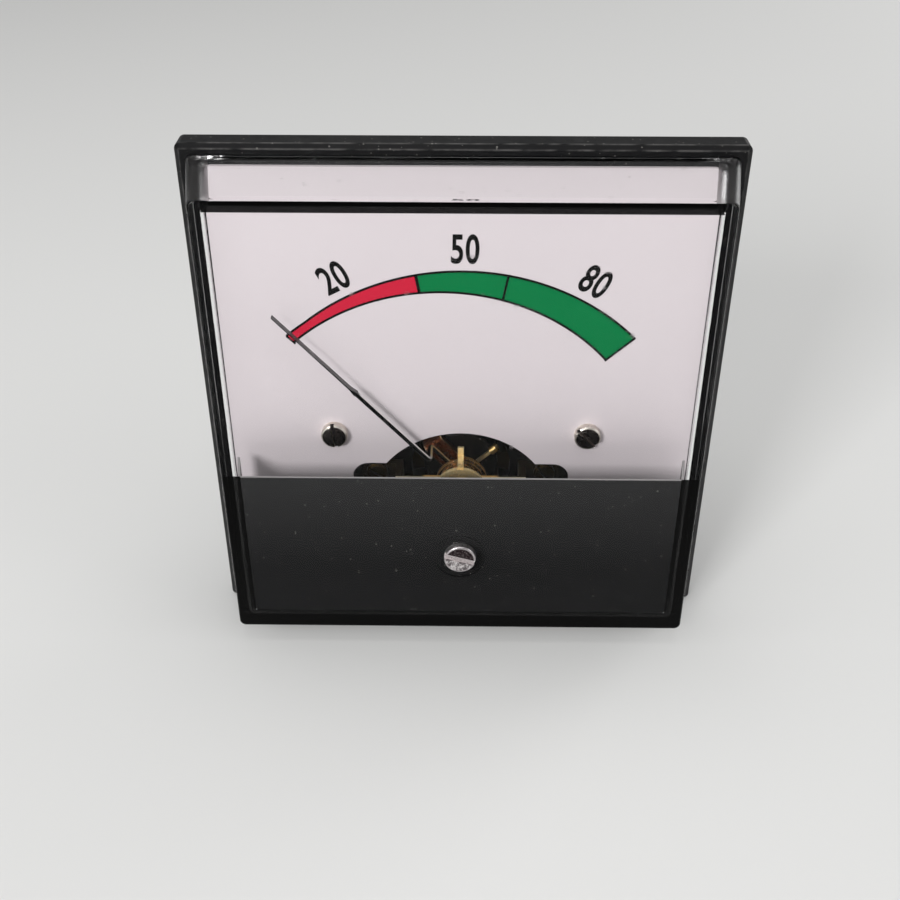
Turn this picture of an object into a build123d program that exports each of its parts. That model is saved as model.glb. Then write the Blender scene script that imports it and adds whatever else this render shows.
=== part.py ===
from build123d import *
from math import asin, atan2, cos, degrees, hypot, pi, radians, sin, tan
import os

# Moving-coil panel meter, in millimetres. X is right, Y is back, Z is up.
# The origin is on the barrel axis, on the back of the flange that bears on the panel.

# Flange and barrel
flange_width = 101.6
flange_height = 103.8
flange_thick = 4.9
flange_corner = 1.2
flange_bevel = 0.9
flange_rise = 6.0
barrel_radius = 34.9
barrel_depth = 37.0
barrel_wall = 2.4
barrel_floor = 3.0
cavity_draft = 0.7
barrel_round = 2.0

# Clear cover
cover_margin = 1.9
cover_depth = 14.5
cover_draft = 10.4
cover_wall = 2.3
cover_front = 2.5
cover_corner = 1.3
pocket_round = 1.1
cover_round = 0.5
tongue_width = 1.0
tongue_depth = 1.0
tongue_clear = 0.15
cover_screw_inset = 5.5
cover_screw_z = -25.0
cover_boss_radius = 2.6
cover_boss_length = 4.4
cover_web = 1.6
cover_web_start = 0.8
cover_bore_depth = 4.0
cover_screw_grip = 3.1
cover_screw_sink = 0.6
cover_screw_pocket = 0.3

# Lower mask behind the front wall of the cover
mask_top = -4.2
mask_thick = 0.5
mask_depth = 7.0
mask_clear = 1.1
mask_round = 0.5

# Dial
dial_clear = 0.7
dial_bottom = -20.0
dial_thick = 0.8
dial_corner = 1.6
arch_radius = 19.3
arch_top = -0.9
lobe_half = 22.1
lobe_top = -8.25
lobe_round = 3.3
dial_screw_x = 25.3
dial_screw_z = -1.0
dial_screw_grip = 4.0
post_radius = 2.6
post_hole_depth = 5.0

# Pivot axis and pointer, with lengths from the pivot axis
pivot_z = -12.3
pointer_turn = -42.3
pointer_limit = 49.0
pointer_stand = 3.0
pointer_bend = 9.2
pointer_blade = 30.2
pointer_tip = 52.6
pointer_radius = 0.5
blade_thick = 0.26
blade_depth = 1.3
neck_length = 1.6
bend_round = 0.9
root_sink = 2.35

# Core, yoke and coil
core_radius = 7.6
core_front = 0.2
core_length = 13.4
yoke_inner = 10.3
yoke_outer = 14.6
yoke_front = -0.8
yoke_length = 15.6
yoke_screw_turn = 45.0
yoke_screw_grip = 4.0
yoke_hole_depth = 5.0
spacer_angle = 26.0
spacer_length = 11.0
coil_end_gap = 0.7
coil_side_gap = 0.55
former_thick = 0.3
winding_thick = 1.0
winding_width = 4.0
winding_clear = 0.02
flange_lip = 0.25
lip_height = 1.1
coil_round = 0.8

# Hubs, pivots and springs
hub_base = 0.5
pin_radius = 0.35
pin_end_float = 0.1
cross_thick = 0.5
cross_radius = 1.9
arm_width = 0.7
arm_length = 10.2
tail_length = 12.5
side_weight_radius = 0.85
side_weight_length = 1.6
tail_weight_radius = 1.38
tail_weight_length = 4.36
tail_weight_end = 10.6
spring_thick = 0.18
spring_height = 0.8
spring_pitch = 0.75
spring_halves = 11
spring_start = 1.56
front_spring_lead = 1.9
rear_spring_lead = 1.2
tab_width = 1.2
tab_thick = 0.6
tab_tip = 1.7
stop_radius = 0.6
stop_ring = 11.6
stop_height = 3.6
stop_clear = 0.05

# Bridges and their screws
bridge_height = 3.8
bridge_thick = 1.4
bridge_half = 13.3
bridge_round = 1.0
bridge_foot = 20.3
bridge_screw_x = 17.3
front_bar_stand = 2.5
front_foot_sink = 3.2
rear_bridge_half = 11.5
rear_bridge_foot = 17.2
rear_bridge_screw_x = 14.6
rear_bar_gap = 1.8
bridge_screw_grip = 4.0
rear_bridge_screw_grip = 2.0
pillar_radius = 2.5
spigot_radius = 1.5
jewel_screw_radius = 1.25
jewel_screw_length = 4.1
jewel_bore = 1.4
jewel_stand = 0.2
jewel_slot_depth = 0.6
jewel_slot_width = 0.5
lock_nut_flats = 4.0
lock_nut_height = 1.3

# Frame plate
frame_thick = 2.5
frame_ring = 17.0
frame_bore = 11.3
frame_ear = 3.6
frame_screw_x = 17.0
frame_screw_z = -22.0
frame_screw_top = 9.5
movement_screw_grip = 6.0
boss_radius = 2.9
boss_root = 0.5
boss_hole_depth = 8.0

# Zero corrector and zero screw
corrector_ring = 5.1
corrector_rim = 1.0
corrector_thick = 0.5
corrector_rim_height = 0.4
corrector_boss = 2.3
corrector_gap = 0.3
stem_root = 0.5
fork_length = 10.4
fork_width = 3.2
zero_screw_z = -22.4
zero_head_radius = 3.2
zero_head_stand = 1.0
zero_head_sink = 0.8
zero_head_round = 0.35
zero_head_clear = 0.1
zero_dish_radius = 5.25
zero_dish_depth = 0.3
zero_shank_radius = 2.4
zero_slot_turn = 16.0
zero_slot_depth = 0.9
zero_slot_width = 1.2
eccentric = 1.6
eccentric_radius = 0.75
eccentric_clear = 0.10
retainer_radius = 4.2
retainer_thick = 0.6

# Terminals and leads
terminal_x = 19.0
terminal_z = 4.0
terminal_radius = 3.1
terminal_pad = 0.8
terminal_pad_radius = 7.2
terminal_reach = 16.0
terminal_head = 2.0
terminal_flats = 11.0
terminal_nut_height = 3.4
terminal_nut_gap = 2.6
terminal_washer_radius = 6.4
terminal_washer_thick = 0.9
lug_thick = 0.5
lug_width = 3.0
lug_reach = 8.5
wire_radius = 0.5
wire_bend = 5.0
wire_gap = 0.1
wire_overlap = 0.3
wire_end_gap = 0.05
clip_radius = 3.06
clip_root = 2.0
clip_tail = 9.4
clip_wire_inset = 1.2

# Mounting studs in the flange: a plain shank through the panel, then the thread
stud_radius = 2.1
stud_thread_radius = 2.0
stud_shank = 9.4
stud_spacing_x = 76.2
stud_spacing_z = 76.2
stud_reach = 16.0
stud_embed = 3.2
stud_head_radius = 3.6
stud_head = 1.4
stud_chamfer = 0.5
stud_nut_flats = 8.0
stud_nut_height = 3.2
stud_nut_end = 2.0
stud_washer_radius = 4.4
stud_washer_thick = 0.9

# Small machine screws: head radius, head height and shank radius
small_head = 2.65
small_head_height = 1.6
small_shank = 1.4
bridge_head = 2.2
bridge_head_height = 1.2
bridge_shank = 1.2
rear_bridge_head = 1.65
rear_bridge_shank = 0.72
slot_width = 0.8
slot_share = 0.55

# Turns of the screw slots from level
left_slot_turn = 82.0
right_slot_turn = 42.0
cover_slot_turn = 20.0
frame_slot_turn = 30.0
yoke_slot_turn = 60.0
bridge_slot_turn = 35.0
bridge_slot_lead = 20.0
rear_slot_turn = 75.0
jewel_slot_turn = 50.0

# Clearances: a fixed screw or rod in its hole, and a shaft that turns in its hole
fixed_clear = 0.05
running_clear = 0.05

# Widths and heights that follow from the sizes above
cover_width = flange_width - 2 * cover_margin
cover_height = flange_height - 2 * cover_margin
dial_width = cover_width - 2 * (cover_wall + dial_clear)
dial_top = flange_rise + cover_height / 2 - cover_wall - dial_clear
cover_screw_x = cover_width / 2 - cover_screw_inset

# Depths along Y that follow from the sizes above
flange_face = -flange_thick
dial_face = flange_face - dial_thick
cover_face = flange_face - cover_depth
window_back = cover_face + cover_front
mask_back = window_back + mask_thick
pointer_face = dial_face - pointer_stand
root_face = dial_face + root_sink
frame_front = yoke_front + yoke_length
frame_back = frame_front + frame_thick
floor_face = barrel_depth - barrel_floor
terminal_face = barrel_depth + terminal_pad
bar_front = dial_face - front_bar_stand
bar_back = bar_front + bridge_thick
foot_front = dial_face + front_foot_sink
foot_back = foot_front + bridge_thick
coil_inner_front = core_front - coil_end_gap
coil_inner_back = core_front + core_length + coil_end_gap
coil_grip = former_thick + lip_height
coil_front = coil_inner_front - coil_grip
coil_back = coil_inner_back + coil_grip
coil_half = core_radius + coil_side_gap
spring_step = spring_pitch / 2
spring_end = spring_start + (spring_halves - 0.5) * spring_step
hub_radius = spring_start - spring_step / 2 - spring_thick / 2 - fixed_clear
front_spring_back = root_face - front_spring_lead
rear_spring_front = coil_back + hub_base + rear_spring_lead
rear_spring_back = rear_spring_front + spring_height
rear_bar_front = rear_spring_back + rear_bar_gap
rear_bar_back = rear_bar_front + bridge_thick
tab_inner = spring_end + spring_thick / 2 + fixed_clear
corrector_back = bar_front - corrector_gap
corrector_front = corrector_back - corrector_thick
arm_reach = pivot_z - zero_screw_z
cover_hole = zero_shank_radius + running_clear
front_jewel_face = bar_back + jewel_stand
rear_jewel_face = rear_bar_front - jewel_stand
cover_screw_face = -bridge_head_height - cover_screw_sink
wire_level = floor_face - lug_thick - wire_radius - wire_gap


def depth_plane(y, x=0, z=0):
    # A drawing plane that faces the front, with its own X and Y along X and Z
    return Plane(origin=(x, y, z), x_dir=(1, 0, 0), z_dir=(0, -1, 0))


def slab(sketch, back, front, x=0, z=0):
    # A sketch drawn as seen from the front, made solid between two depths
    return extrude(depth_plane(back, x, z) * sketch, amount=back - front)


def rod(radius, back, front, x=0, z=0):
    return slab(Circle(radius), back, front, x, z)


def tube(outer, inner, back, front, x=0, z=0):
    return slab(Circle(outer) - Circle(inner), back, front, x, z)


def front_rim(solid):
    return solid.faces().sort_by(Axis.Y)[0].edges()


def back_rim(solid):
    return solid.faces().sort_by(Axis.Y)[-1].edges()


def both_sides(solid):
    return [solid, mirror(solid, about=Plane.YZ)]


def group(solids):
    return Compound([item.solid() for item in solids])


def slot_cut(radius, top, depth, turn, width=slot_width):
    cut = Box(2.4 * radius, 2 * depth, width)
    return Pos(0, top, 0) * Rot(0, turn, 0) * cut


def slotted_screw(head_radius, head_height, shank_radius, length, turn):
    # Head underside at Y = 0, with the head to the front
    head = chamfer(front_rim(rod(head_radius, 0, -head_height)), 0.25 * head_height)
    shank = chamfer(back_rim(rod(shank_radius, length, 0)), 0.25 * shank_radius)
    return head + shank - slot_cut(head_radius, -head_height, slot_share * head_height, turn)


def cheese_head(radius, height, turn):
    # Rounded slotted head, for the screws that stand in view
    head = fillet(front_rim(rod(radius, 0, -height)), 0.3 * height)
    return head - slot_cut(radius, -height, slot_share * height, turn)


def flipped(solid):
    # Turned round to face the back
    return Rot(0, 0, 180) * solid


def hex_nut(flats, bore, back, front, x=0, z=0):
    corner = flats / 3**0.5
    crown = rod(corner, back, front)
    crown = chamfer([front_rim(crown), back_rim(crown)], 0.12 * corner)
    body = slab(RegularPolygon(flats / 2, 6, major_radius=False), back, front)
    return Pos(x, 0, z) * ((body & crown) - rod(bore, back, front))


def moving(solid):
    # From a pointer that stands straight up over the origin to its place on the dial
    return Pos(0, 0, pivot_z) * Rot(0, pointer_turn, 0) * solid


def on_pivot(solid):
    return Pos(0, 0, pivot_z) * solid


def stud_places():
    return [(x * stud_spacing_x / 2, z * stud_spacing_z / 2) for x in (-1, 1) for z in (-1, 1)]


def frame_screw_places():
    return [(-frame_screw_x, frame_screw_z), (frame_screw_x, frame_screw_z), (0, frame_screw_top)]


def yoke_screw_places():
    reach = (yoke_inner + yoke_outer) / 2
    turns = [radians(yoke_screw_turn), radians(yoke_screw_turn + 180)]
    return [(reach * sin(turn), pivot_z + reach * cos(turn)) for turn in turns]


def cover_section(y, inset, corner):
    # The cover's rectangle at one depth, drawn in by an inset and by the draft
    drawn = 2 * (inset + (flange_face - y) * tan(radians(cover_draft)))
    outline = RectangleRounded(cover_width - drawn, cover_height - drawn, corner)
    return depth_plane(y, 0, flange_rise) * outline


def tapered(inset, back, front, corner):
    return loft([cover_section(back, inset, corner), cover_section(front, inset, corner)], ruled=True)


def tongue_outline(inset):
    return RectangleRounded(cover_width - 2 * inset, cover_height - 2 * inset, cover_corner)


def tongue_ring(clear):
    inset = (cover_wall - tongue_width) / 2
    return tongue_outline(inset - clear) - tongue_outline(inset + tongue_width + clear)


def barrel_body():
    barrel = rod(barrel_radius, barrel_depth, flange_face)
    return fillet(back_rim(barrel), barrel_round)


def barrel_cavity():
    # Inside of the barrel, with its draft for moulding
    mouth = barrel_radius - barrel_wall
    end = mouth - (floor_face - flange_face) * tan(radians(cavity_draft))
    return loft([depth_plane(flange_face) * Circle(mouth), depth_plane(floor_face) * Circle(end)])


def base_housing():
    plate = RectangleRounded(flange_width, flange_height, flange_corner)
    flange = slab(plate, 0, flange_face, 0, flange_rise)
    flange = chamfer(front_rim(flange), flange_bevel)
    groove_back = flange_face + tongue_depth + tongue_clear
    groove = slab(tongue_ring(tongue_clear), groove_back, flange_face, 0, flange_rise)
    body = flange + barrel_body() - barrel_cavity() - groove
    for x, z in frame_screw_places():
        body += rod(boss_radius, floor_face + boss_root, frame_back, x, z) & barrel_body()
        body -= rod(small_shank + fixed_clear, frame_back + boss_hole_depth, frame_back, x, z)
    for side in (-1, 1):
        x = side * terminal_x
        body += rod(terminal_pad_radius, terminal_face, floor_face, x, terminal_z)
        body -= rod(terminal_radius + fixed_clear, terminal_face, floor_face, x, terminal_z)
        x = side * cover_screw_x
        body -= rod(bridge_shank + fixed_clear, 0, flange_face, x, cover_screw_z)
        body -= rod(bridge_head + cover_screw_pocket, 0, cover_screw_face, x, cover_screw_z)
    for x, z in stud_places():
        body -= rod(stud_radius + fixed_clear, 0, -stud_embed, x, z)
        body -= rod(stud_head_radius + fixed_clear, -stud_embed + stud_head, -stud_embed, x, z)
    return body


def front_cover():
    shell = tapered(0, flange_face, cover_face, cover_corner)
    shell = fillet(front_rim(shell), cover_round)
    pocket = tapered(cover_wall, flange_face, window_back, cover_corner)
    shell -= fillet(front_rim(pocket), pocket_round)
    shell += slab(tongue_ring(0), flange_face + tongue_depth, flange_face, 0, flange_rise)
    boss_front = flange_face - cover_boss_length
    for side in (-1, 1):
        x = side * cover_screw_x
        web = Rectangle(cover_screw_inset, cover_web)
        web = Pos(side * (cover_web_start + cover_screw_inset / 2), 0) * web
        boss = slab(Circle(cover_boss_radius) + web, flange_face, boss_front, x, cover_screw_z)
        shell += boss & tapered(cover_wall / 2, flange_face, cover_face, cover_corner)
        shell -= rod(bridge_shank + fixed_clear, flange_face, flange_face - cover_bore_depth, x, cover_screw_z)
    shell -= rod(cover_hole, window_back, cover_face, 0, zero_screw_z)
    sink_radius = zero_head_radius + zero_head_clear
    shell -= rod(sink_radius, cover_face + zero_head_sink, cover_face, 0, zero_screw_z)
    shell -= rod(zero_dish_radius, cover_face + zero_dish_depth, cover_face, 0, zero_screw_z)
    return shell


def lower_mask():
    back = window_back + mask_depth
    outer = tapered(cover_wall + mask_clear, back, window_back, cover_corner)
    inner = tapered(cover_wall + mask_clear + mask_thick, back, mask_back, cover_corner)
    below = slab(Rectangle(cover_width, cover_height), back, window_back, 0, mask_top - cover_height / 2)
    tray = (outer - inner) & below
    tray = fillet(front_rim(tray).filter_by(Axis.Z), mask_round)
    return tray - rod(zero_shank_radius + 4 * running_clear, mask_back, window_back, 0, zero_screw_z)


def cover_screws():
    length = cover_screw_face - flange_face + cover_screw_grip
    screw = flipped(slotted_screw(bridge_head, bridge_head_height, bridge_shank, length, cover_slot_turn))
    return group(both_sides(Pos(cover_screw_x, cover_screw_face, cover_screw_z) * screw))


def dial_plate():
    height = dial_top - dial_bottom
    plate = Pos(0, dial_bottom + height / 2) * RectangleRounded(dial_width, height, dial_corner)
    plate -= Pos(0, arch_top - arch_radius) * Circle(arch_radius)
    plate -= Pos(0, lobe_top - height / 2) * RectangleRounded(2 * lobe_half, height, lobe_round)
    for side in (-1, 1):
        plate -= Pos(side * dial_screw_x, dial_screw_z) * Circle(small_shank + fixed_clear)
    return slab(plate, flange_face, dial_face)


def dial_screws():
    length = dial_thick + dial_screw_grip
    places = [(-dial_screw_x, left_slot_turn), (dial_screw_x, right_slot_turn)]
    screws = []
    for x, turn in places:
        shank = chamfer(back_rim(rod(small_shank, length, 0)), 0.25 * small_shank)
        head = cheese_head(small_head, small_head_height, turn)
        screws.append(Pos(x, dial_face, dial_screw_z) * (head + shank))
    return group(screws)


def post(radius, front, hole_radius, hole_depth):
    # Standoff riveted in the frame plate by its spigot, tapped at the front
    body = rod(radius, frame_front, front) + rod(spigot_radius, frame_back, frame_front)
    return body - rod(hole_radius, front + hole_depth, front)


def dial_posts():
    body = post(post_radius, flange_face, small_shank + fixed_clear, post_hole_depth)
    return group(both_sides(Pos(dial_screw_x, 0, dial_screw_z) * body))


def bridge_pillars():
    body = post(pillar_radius, foot_back, bridge_shank + fixed_clear, post_hole_depth)
    return group(both_sides(Pos(bridge_screw_x, 0, pivot_z) * body))


def movement_frame():
    plate = Pos(0, pivot_z) * Circle(frame_ring)
    for x, z in frame_screw_places():
        middle = Vector(x / 2, (z + pivot_z) / 2)
        turn = degrees(atan2(z - pivot_z, x))
        arm = Rectangle(hypot(x, z - pivot_z), 2 * frame_ear)
        plate += Pos(middle.X, middle.Y) * Rot(0, 0, turn) * arm
        plate += Pos(x, z) * Circle(frame_ear)
    for side in (-1, 1):
        x, z = side * dial_screw_x, dial_screw_z
        turn = degrees(atan2(z - pivot_z, x))
        arm = Rectangle(hypot(x, z - pivot_z), 2 * frame_ear)
        plate += Pos(x / 2, (z + pivot_z) / 2) * Rot(0, 0, turn) * arm
        plate += Pos(x, z) * Circle(frame_ear) + Pos(side * bridge_screw_x, pivot_z) * Circle(frame_ear)
        plate -= Pos(x, z) * Circle(spigot_radius + fixed_clear)
        plate -= Pos(side * bridge_screw_x, pivot_z) * Circle(spigot_radius + fixed_clear)
    plate -= Pos(0, pivot_z) * Circle(frame_bore)
    for x, z in frame_screw_places():
        plate -= Pos(x, z) * Circle(small_shank + fixed_clear)
    for x, z in yoke_screw_places():
        plate -= Pos(x, z) * Circle(bridge_shank + fixed_clear)
    for side in (-1, 1):
        plate -= Pos(side * rear_bridge_screw_x, pivot_z) * Circle(rear_bridge_shank + fixed_clear)
    return slab(plate, frame_back, frame_front)


def movement_screws():
    length = frame_thick + movement_screw_grip
    screw = slotted_screw(small_head, small_head_height, small_shank, length, frame_slot_turn)
    return group([Pos(x, frame_front, z) * screw for x, z in frame_screw_places()])


def yoke_ring():
    ring = tube(yoke_outer, yoke_inner, frame_front, yoke_front)
    ring = chamfer(front_rim(ring), 0.3)
    ring = on_pivot(ring)
    for x, z in yoke_screw_places():
        ring -= rod(bridge_shank + fixed_clear, frame_front, frame_front - yoke_hole_depth, x, z)
    return ring


def yoke_screws():
    length = frame_thick + yoke_screw_grip
    screw = flipped(slotted_screw(bridge_head, bridge_head_height, bridge_shank, length, yoke_slot_turn))
    return group([Pos(x, frame_back, z) * screw for x, z in yoke_screw_places()])


def core_magnet():
    core = rod(core_radius, core_front + core_length, core_front)
    return on_pivot(chamfer([front_rim(core), back_rim(core)], 0.4))


def core_spacers():
    # Blocks that hold the core in the yoke at the two sides, where the coil doesn't pass
    ring = Circle(yoke_inner - fixed_clear) - Circle(core_radius + fixed_clear)
    reach = 2 * yoke_inner
    half = radians(spacer_angle / 2)
    wedge = Polygon((0, 0), (reach, -reach * tan(half)), (reach, reach * tan(half)), align=None)
    middle = core_front + core_length / 2
    block = slab(ring & wedge, middle + spacer_length / 2, middle - spacer_length / 2)
    return group(both_sides(on_pivot(block)))


def bent_strip(foot, half, bar_y, foot_y):
    # Plan outline of a hat-shaped strip, from the outer and the inner polyline of its bends
    t = bridge_thick
    out = 1 if bar_y < foot_y else -1
    outer = [(-foot, foot_y), (-half, foot_y), (-half, bar_y), (half, bar_y), (half, foot_y), (foot, foot_y)]
    inner = [(foot, foot_y + out * t), (half - t, foot_y + out * t), (half - t, bar_y + out * t)]
    inner += [(t - half, bar_y + out * t), (t - half, foot_y + out * t), (-foot, foot_y + out * t)]
    strip = make_face(Polyline(*outer, *inner, close=True))
    crown = [v for v in strip.vertices() if abs(v.Y - bar_y) < 0.1]
    face = fillet(crown, bridge_round)
    return Pos(0, 0, pivot_z) * extrude(face, amount=bridge_height / 2, both=True)


def front_bridge():
    bridge = bent_strip(bridge_foot, bridge_half, bar_front, foot_front)
    bridge -= on_pivot(rod(jewel_screw_radius + fixed_clear, bar_back, bar_front))
    for side in (-1, 1):
        bridge -= rod(bridge_shank + fixed_clear, foot_back, foot_front, side * bridge_screw_x, pivot_z)
    return bridge


def bridge_screws():
    length = bridge_thick + bridge_screw_grip
    screw = slotted_screw(bridge_head, bridge_head_height, bridge_shank, length, bridge_slot_turn)
    left = Pos(-bridge_screw_x, foot_front, pivot_z) * screw
    right = Pos(bridge_screw_x, foot_front, pivot_z) * Rot(0, bridge_slot_lead, 0) * screw
    return group([left, right])


def rear_bridge():
    bridge = bent_strip(rear_bridge_foot, rear_bridge_half, rear_bar_back, frame_back + bridge_thick)
    bridge -= on_pivot(rod(jewel_screw_radius + fixed_clear, rear_bar_back, rear_bar_front))
    for side in (-1, 1):
        x = side * rear_bridge_screw_x
        bridge -= rod(rear_bridge_shank + fixed_clear, frame_back + bridge_thick, frame_back, x, pivot_z)
    return bridge


def rear_bridge_screws():
    length = bridge_thick + rear_bridge_screw_grip
    screw = slotted_screw(rear_bridge_head, bridge_head_height, rear_bridge_shank, length, rear_slot_turn)
    screw = Pos(rear_bridge_screw_x, frame_back + bridge_thick, pivot_z) * flipped(screw)
    return group(both_sides(screw))


def jewel_screw(length):
    # Bearing bore at Y = 0, slotted end to the front
    body = rod(jewel_screw_radius, 0, -length)
    body = chamfer(front_rim(body), 0.2)
    body -= rod(pin_radius + running_clear, 0, -jewel_bore)
    return body - slot_cut(jewel_screw_radius, -length, jewel_slot_depth, jewel_slot_turn, jewel_slot_width)


def front_jewel_screw():
    return Pos(0, front_jewel_face, pivot_z) * jewel_screw(jewel_screw_length + jewel_stand)


def rear_jewel_screw():
    return Pos(0, rear_jewel_face, pivot_z) * flipped(jewel_screw(jewel_screw_length + jewel_stand))


def front_lock_nut():
    front = corrector_front - lock_nut_height
    bore = jewel_screw_radius + fixed_clear
    return hex_nut(lock_nut_flats, bore, corrector_front - running_clear, front, 0, pivot_z)


def rear_lock_nut():
    front = rear_bar_back + corrector_thick
    bore = jewel_screw_radius + fixed_clear
    return hex_nut(lock_nut_flats, bore, front + lock_nut_height, front, 0, pivot_z)


def spring_tab(back, front):
    # Upright strip that holds the outer end of a hairspring
    return slab(Pos(0, tab_inner + tab_thick / 2) * Rectangle(tab_width, tab_thick), back, front)


def zero_corrector_arm():
    disc = Circle(corrector_ring)
    stem = tab_inner + tab_thick - corrector_ring + 2 * stem_root
    disc += Pos(0, tab_inner + tab_thick - stem / 2) * Rectangle(tab_width, stem)
    disc += Pos(0, -fork_length / 2) * Rectangle(fork_width, fork_length)
    pin_reach = arm_reach - eccentric
    slot_top = pin_reach - 2.5 * eccentric_radius
    slot = 2 * (fork_length - slot_top)
    disc -= Pos(0, -slot_top - slot / 2) * Rectangle(2 * (eccentric_radius + eccentric_clear), slot)
    disc -= Circle(jewel_screw_radius + running_clear)
    arm = slab(disc, corrector_back, corrector_front)
    rim_inner = corrector_ring - corrector_rim
    arm += tube(corrector_ring, rim_inner, corrector_back, corrector_front - corrector_rim_height)
    arm += tube(corrector_boss, jewel_screw_radius + running_clear, bar_front - running_clear, corrector_back)
    arm += spring_tab(front_spring_back, corrector_front)
    tip = Pos(0, tab_inner + tab_tip / 2 + tab_thick) * Rectangle(tab_width, tab_tip)
    arm += slab(tip, front_spring_back, front_spring_back - tab_thick)
    return on_pivot(arm)


def rear_spring_abutment():
    back = rear_bar_back + corrector_thick
    disc = Circle(clip_radius) - Circle(jewel_screw_radius + fixed_clear)
    disc += Pos(0, (clip_tail + clip_root) / 2) * Rectangle(tab_width, clip_tail - clip_root)
    clip = slab(disc, back, rear_bar_back) + spring_tab(rear_bar_back, rear_spring_front)
    return on_pivot(clip)


def spiral_band(offset):
    # Half-turn arcs about two centres, so that each runs on smoothly into the next
    arcs = []
    for index in range(spring_halves):
        side = 1 if index % 2 == 0 else -1
        centre = side * spring_step / 2
        radius = spring_start + index * spring_step + offset
        first = (0, centre - side * radius)
        last = (0, centre + side * radius)
        arcs.append(ThreePointArc(first, (side * radius, centre), last))
    return arcs


def hairspring(back):
    outer = spiral_band(spring_thick / 2)
    inner = spiral_band(-spring_thick / 2)
    caps = [Line(outer[0] @ 0, inner[0] @ 0), Line(outer[-1] @ 1, inner[-1] @ 1)]
    band = make_face(outer + inner + caps)
    return on_pivot(slab(band, back, back - spring_height))


def spiral_gap():
    # Least distance between neighbouring turns, measured on points of the centre line
    points = []
    for arc in spiral_band(0):
        points += [arc @ (step / 24) for step in range(24)]
    least = spring_pitch * 9
    for index, point in enumerate(points):
        for other in points[index + 36:]:
            least = min(least, (point - other).length)
    return least - spring_thick


def front_hairspring():
    return hairspring(front_spring_back)


def rear_hairspring():
    return mirror(hairspring(rear_spring_back), about=Plane.YZ)


def coil_loop(inner, outer, width, round_off):
    # A closed loop round the core, in the upright plane through the pivot axis
    middle = (coil_inner_front + coil_inner_back) / 2
    span = coil_inner_back - coil_inner_front
    big = RectangleRounded(span + 2 * outer, 2 * (coil_half + outer), round_off + outer)
    small = RectangleRounded(span + 2 * inner, 2 * (coil_half + inner), round_off + inner)
    return Pos(0, middle, 0) * extrude(Plane.YZ * (big - small), amount=width / 2, both=True)


def coil_frame():
    former = coil_loop(0, former_thick, winding_width + 2 * flange_lip, coil_round)
    lip = coil_loop(0, coil_grip, flange_lip, coil_round)
    shift = (winding_width + flange_lip) / 2
    return moving(former + Pos(shift, 0, 0) * lip + Pos(-shift, 0, 0) * lip)


def coil_winding():
    inner = former_thick + winding_clear
    outer = former_thick + winding_thick
    return moving(coil_loop(inner, outer, winding_width - 2 * winding_clear, coil_round))


def pivot_pin(length):
    # Tapered bearing pin, tip to the front
    pin = rod(pin_radius, 0, -length)
    return chamfer(front_rim(pin), 0.5 * pin_radius, 0.8 * pin_radius)


def hub(collar_length):
    # Base plate on the coil, spring collar and pin, with the base at Y = 0
    base = slab(RectangleRounded(2 * cross_radius, winding_width + 2 * flange_lip - 1, 0.4), 0, -hub_base)
    base = Rot(0, 90, 0) * base
    collar = rod(hub_radius, 0, -hub_base - collar_length)
    return base + collar


def front_pivot():
    collar_end = front_spring_back - spring_height
    body = Pos(0, coil_front, 0) * hub(coil_front - hub_base - collar_end)
    tip = front_jewel_face - jewel_bore + pin_end_float
    body += Pos(0, collar_end, 0) * pivot_pin(collar_end - tip)
    return moving(body)


def rear_pivot():
    collar_end = rear_spring_back
    tip = rear_jewel_face + jewel_bore - pin_end_float
    body = Pos(0, coil_back, 0) * flipped(hub(collar_end - coil_back - hub_base))
    body += Pos(0, collar_end, 0) * flipped(pivot_pin(tip - collar_end))
    return moving(body)


def pointer_section(reach, width, depth):
    return Plane(origin=(0, pointer_face, reach), z_dir=(0, 0, 1)) * Rectangle(width, depth)


def pointer():
    # Wire bent forward out of the movement and up over the dial, then flattened to a blade
    start = (0, root_face, cross_radius + fixed_clear)
    corners = [start, (0, root_face, pointer_bend), (0, pointer_face, pointer_bend)]
    corners.append((0, pointer_face, pointer_blade))
    path = FilletPolyline(*corners, radius=bend_round)
    section = Plane(origin=start, z_dir=(0, 0, 1)) * Circle(pointer_radius)
    shaft = sweep(section, path=path)
    neck = pointer_blade + neck_length
    wide = pointer_section(pointer_blade, 2 * pointer_radius, 2 * pointer_radius)
    thin = pointer_section(neck, blade_thick, blade_depth)
    tip = pointer_section(pointer_tip, blade_thick / 2, blade_depth)
    blade = loft([wide, thin], ruled=True) + loft([thin, tip], ruled=True)
    return moving(shaft + blade)


def balance_cross():
    cross = Circle(cross_radius) + Rectangle(2 * arm_length, arm_width)
    cross += Pos(0, -tail_length / 2) * Rectangle(arm_width, tail_length)
    cross -= Circle(hub_radius + fixed_clear)
    return moving(slab(cross, root_face + cross_thick / 2, root_face - cross_thick / 2))


def sleeve(radius, length, far_end):
    # Sleeve on the upper arm, with its outer end at a given reach from the axis
    arm_radius = hypot(arm_width, cross_thick) / 2 + 0.02
    ring = Circle(radius) - Circle(arm_radius)
    return Pos(0, root_face, far_end - length) * extrude(ring, amount=length)


def balance_weights():
    side = sleeve(side_weight_radius, side_weight_length, arm_length - 0.3)
    tail = sleeve(tail_weight_radius, tail_weight_length, tail_weight_end)
    return group([moving(Rot(0, 90, 0) * side), moving(Rot(0, -90, 0) * side), moving(Rot(0, 180, 0) * tail)])


def pointer_stops():
    # Pins on the yoke that the tail arm meets at the two ends of its travel
    lead = degrees(asin((arm_width / 2 + stop_radius + stop_clear) / stop_ring))
    turn = 180 - pointer_limit - lead
    pin = rod(stop_radius, yoke_front, yoke_front - stop_height, 0, stop_ring)
    return group(both_sides(on_pivot(Rot(0, turn, 0) * pin)))


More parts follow.
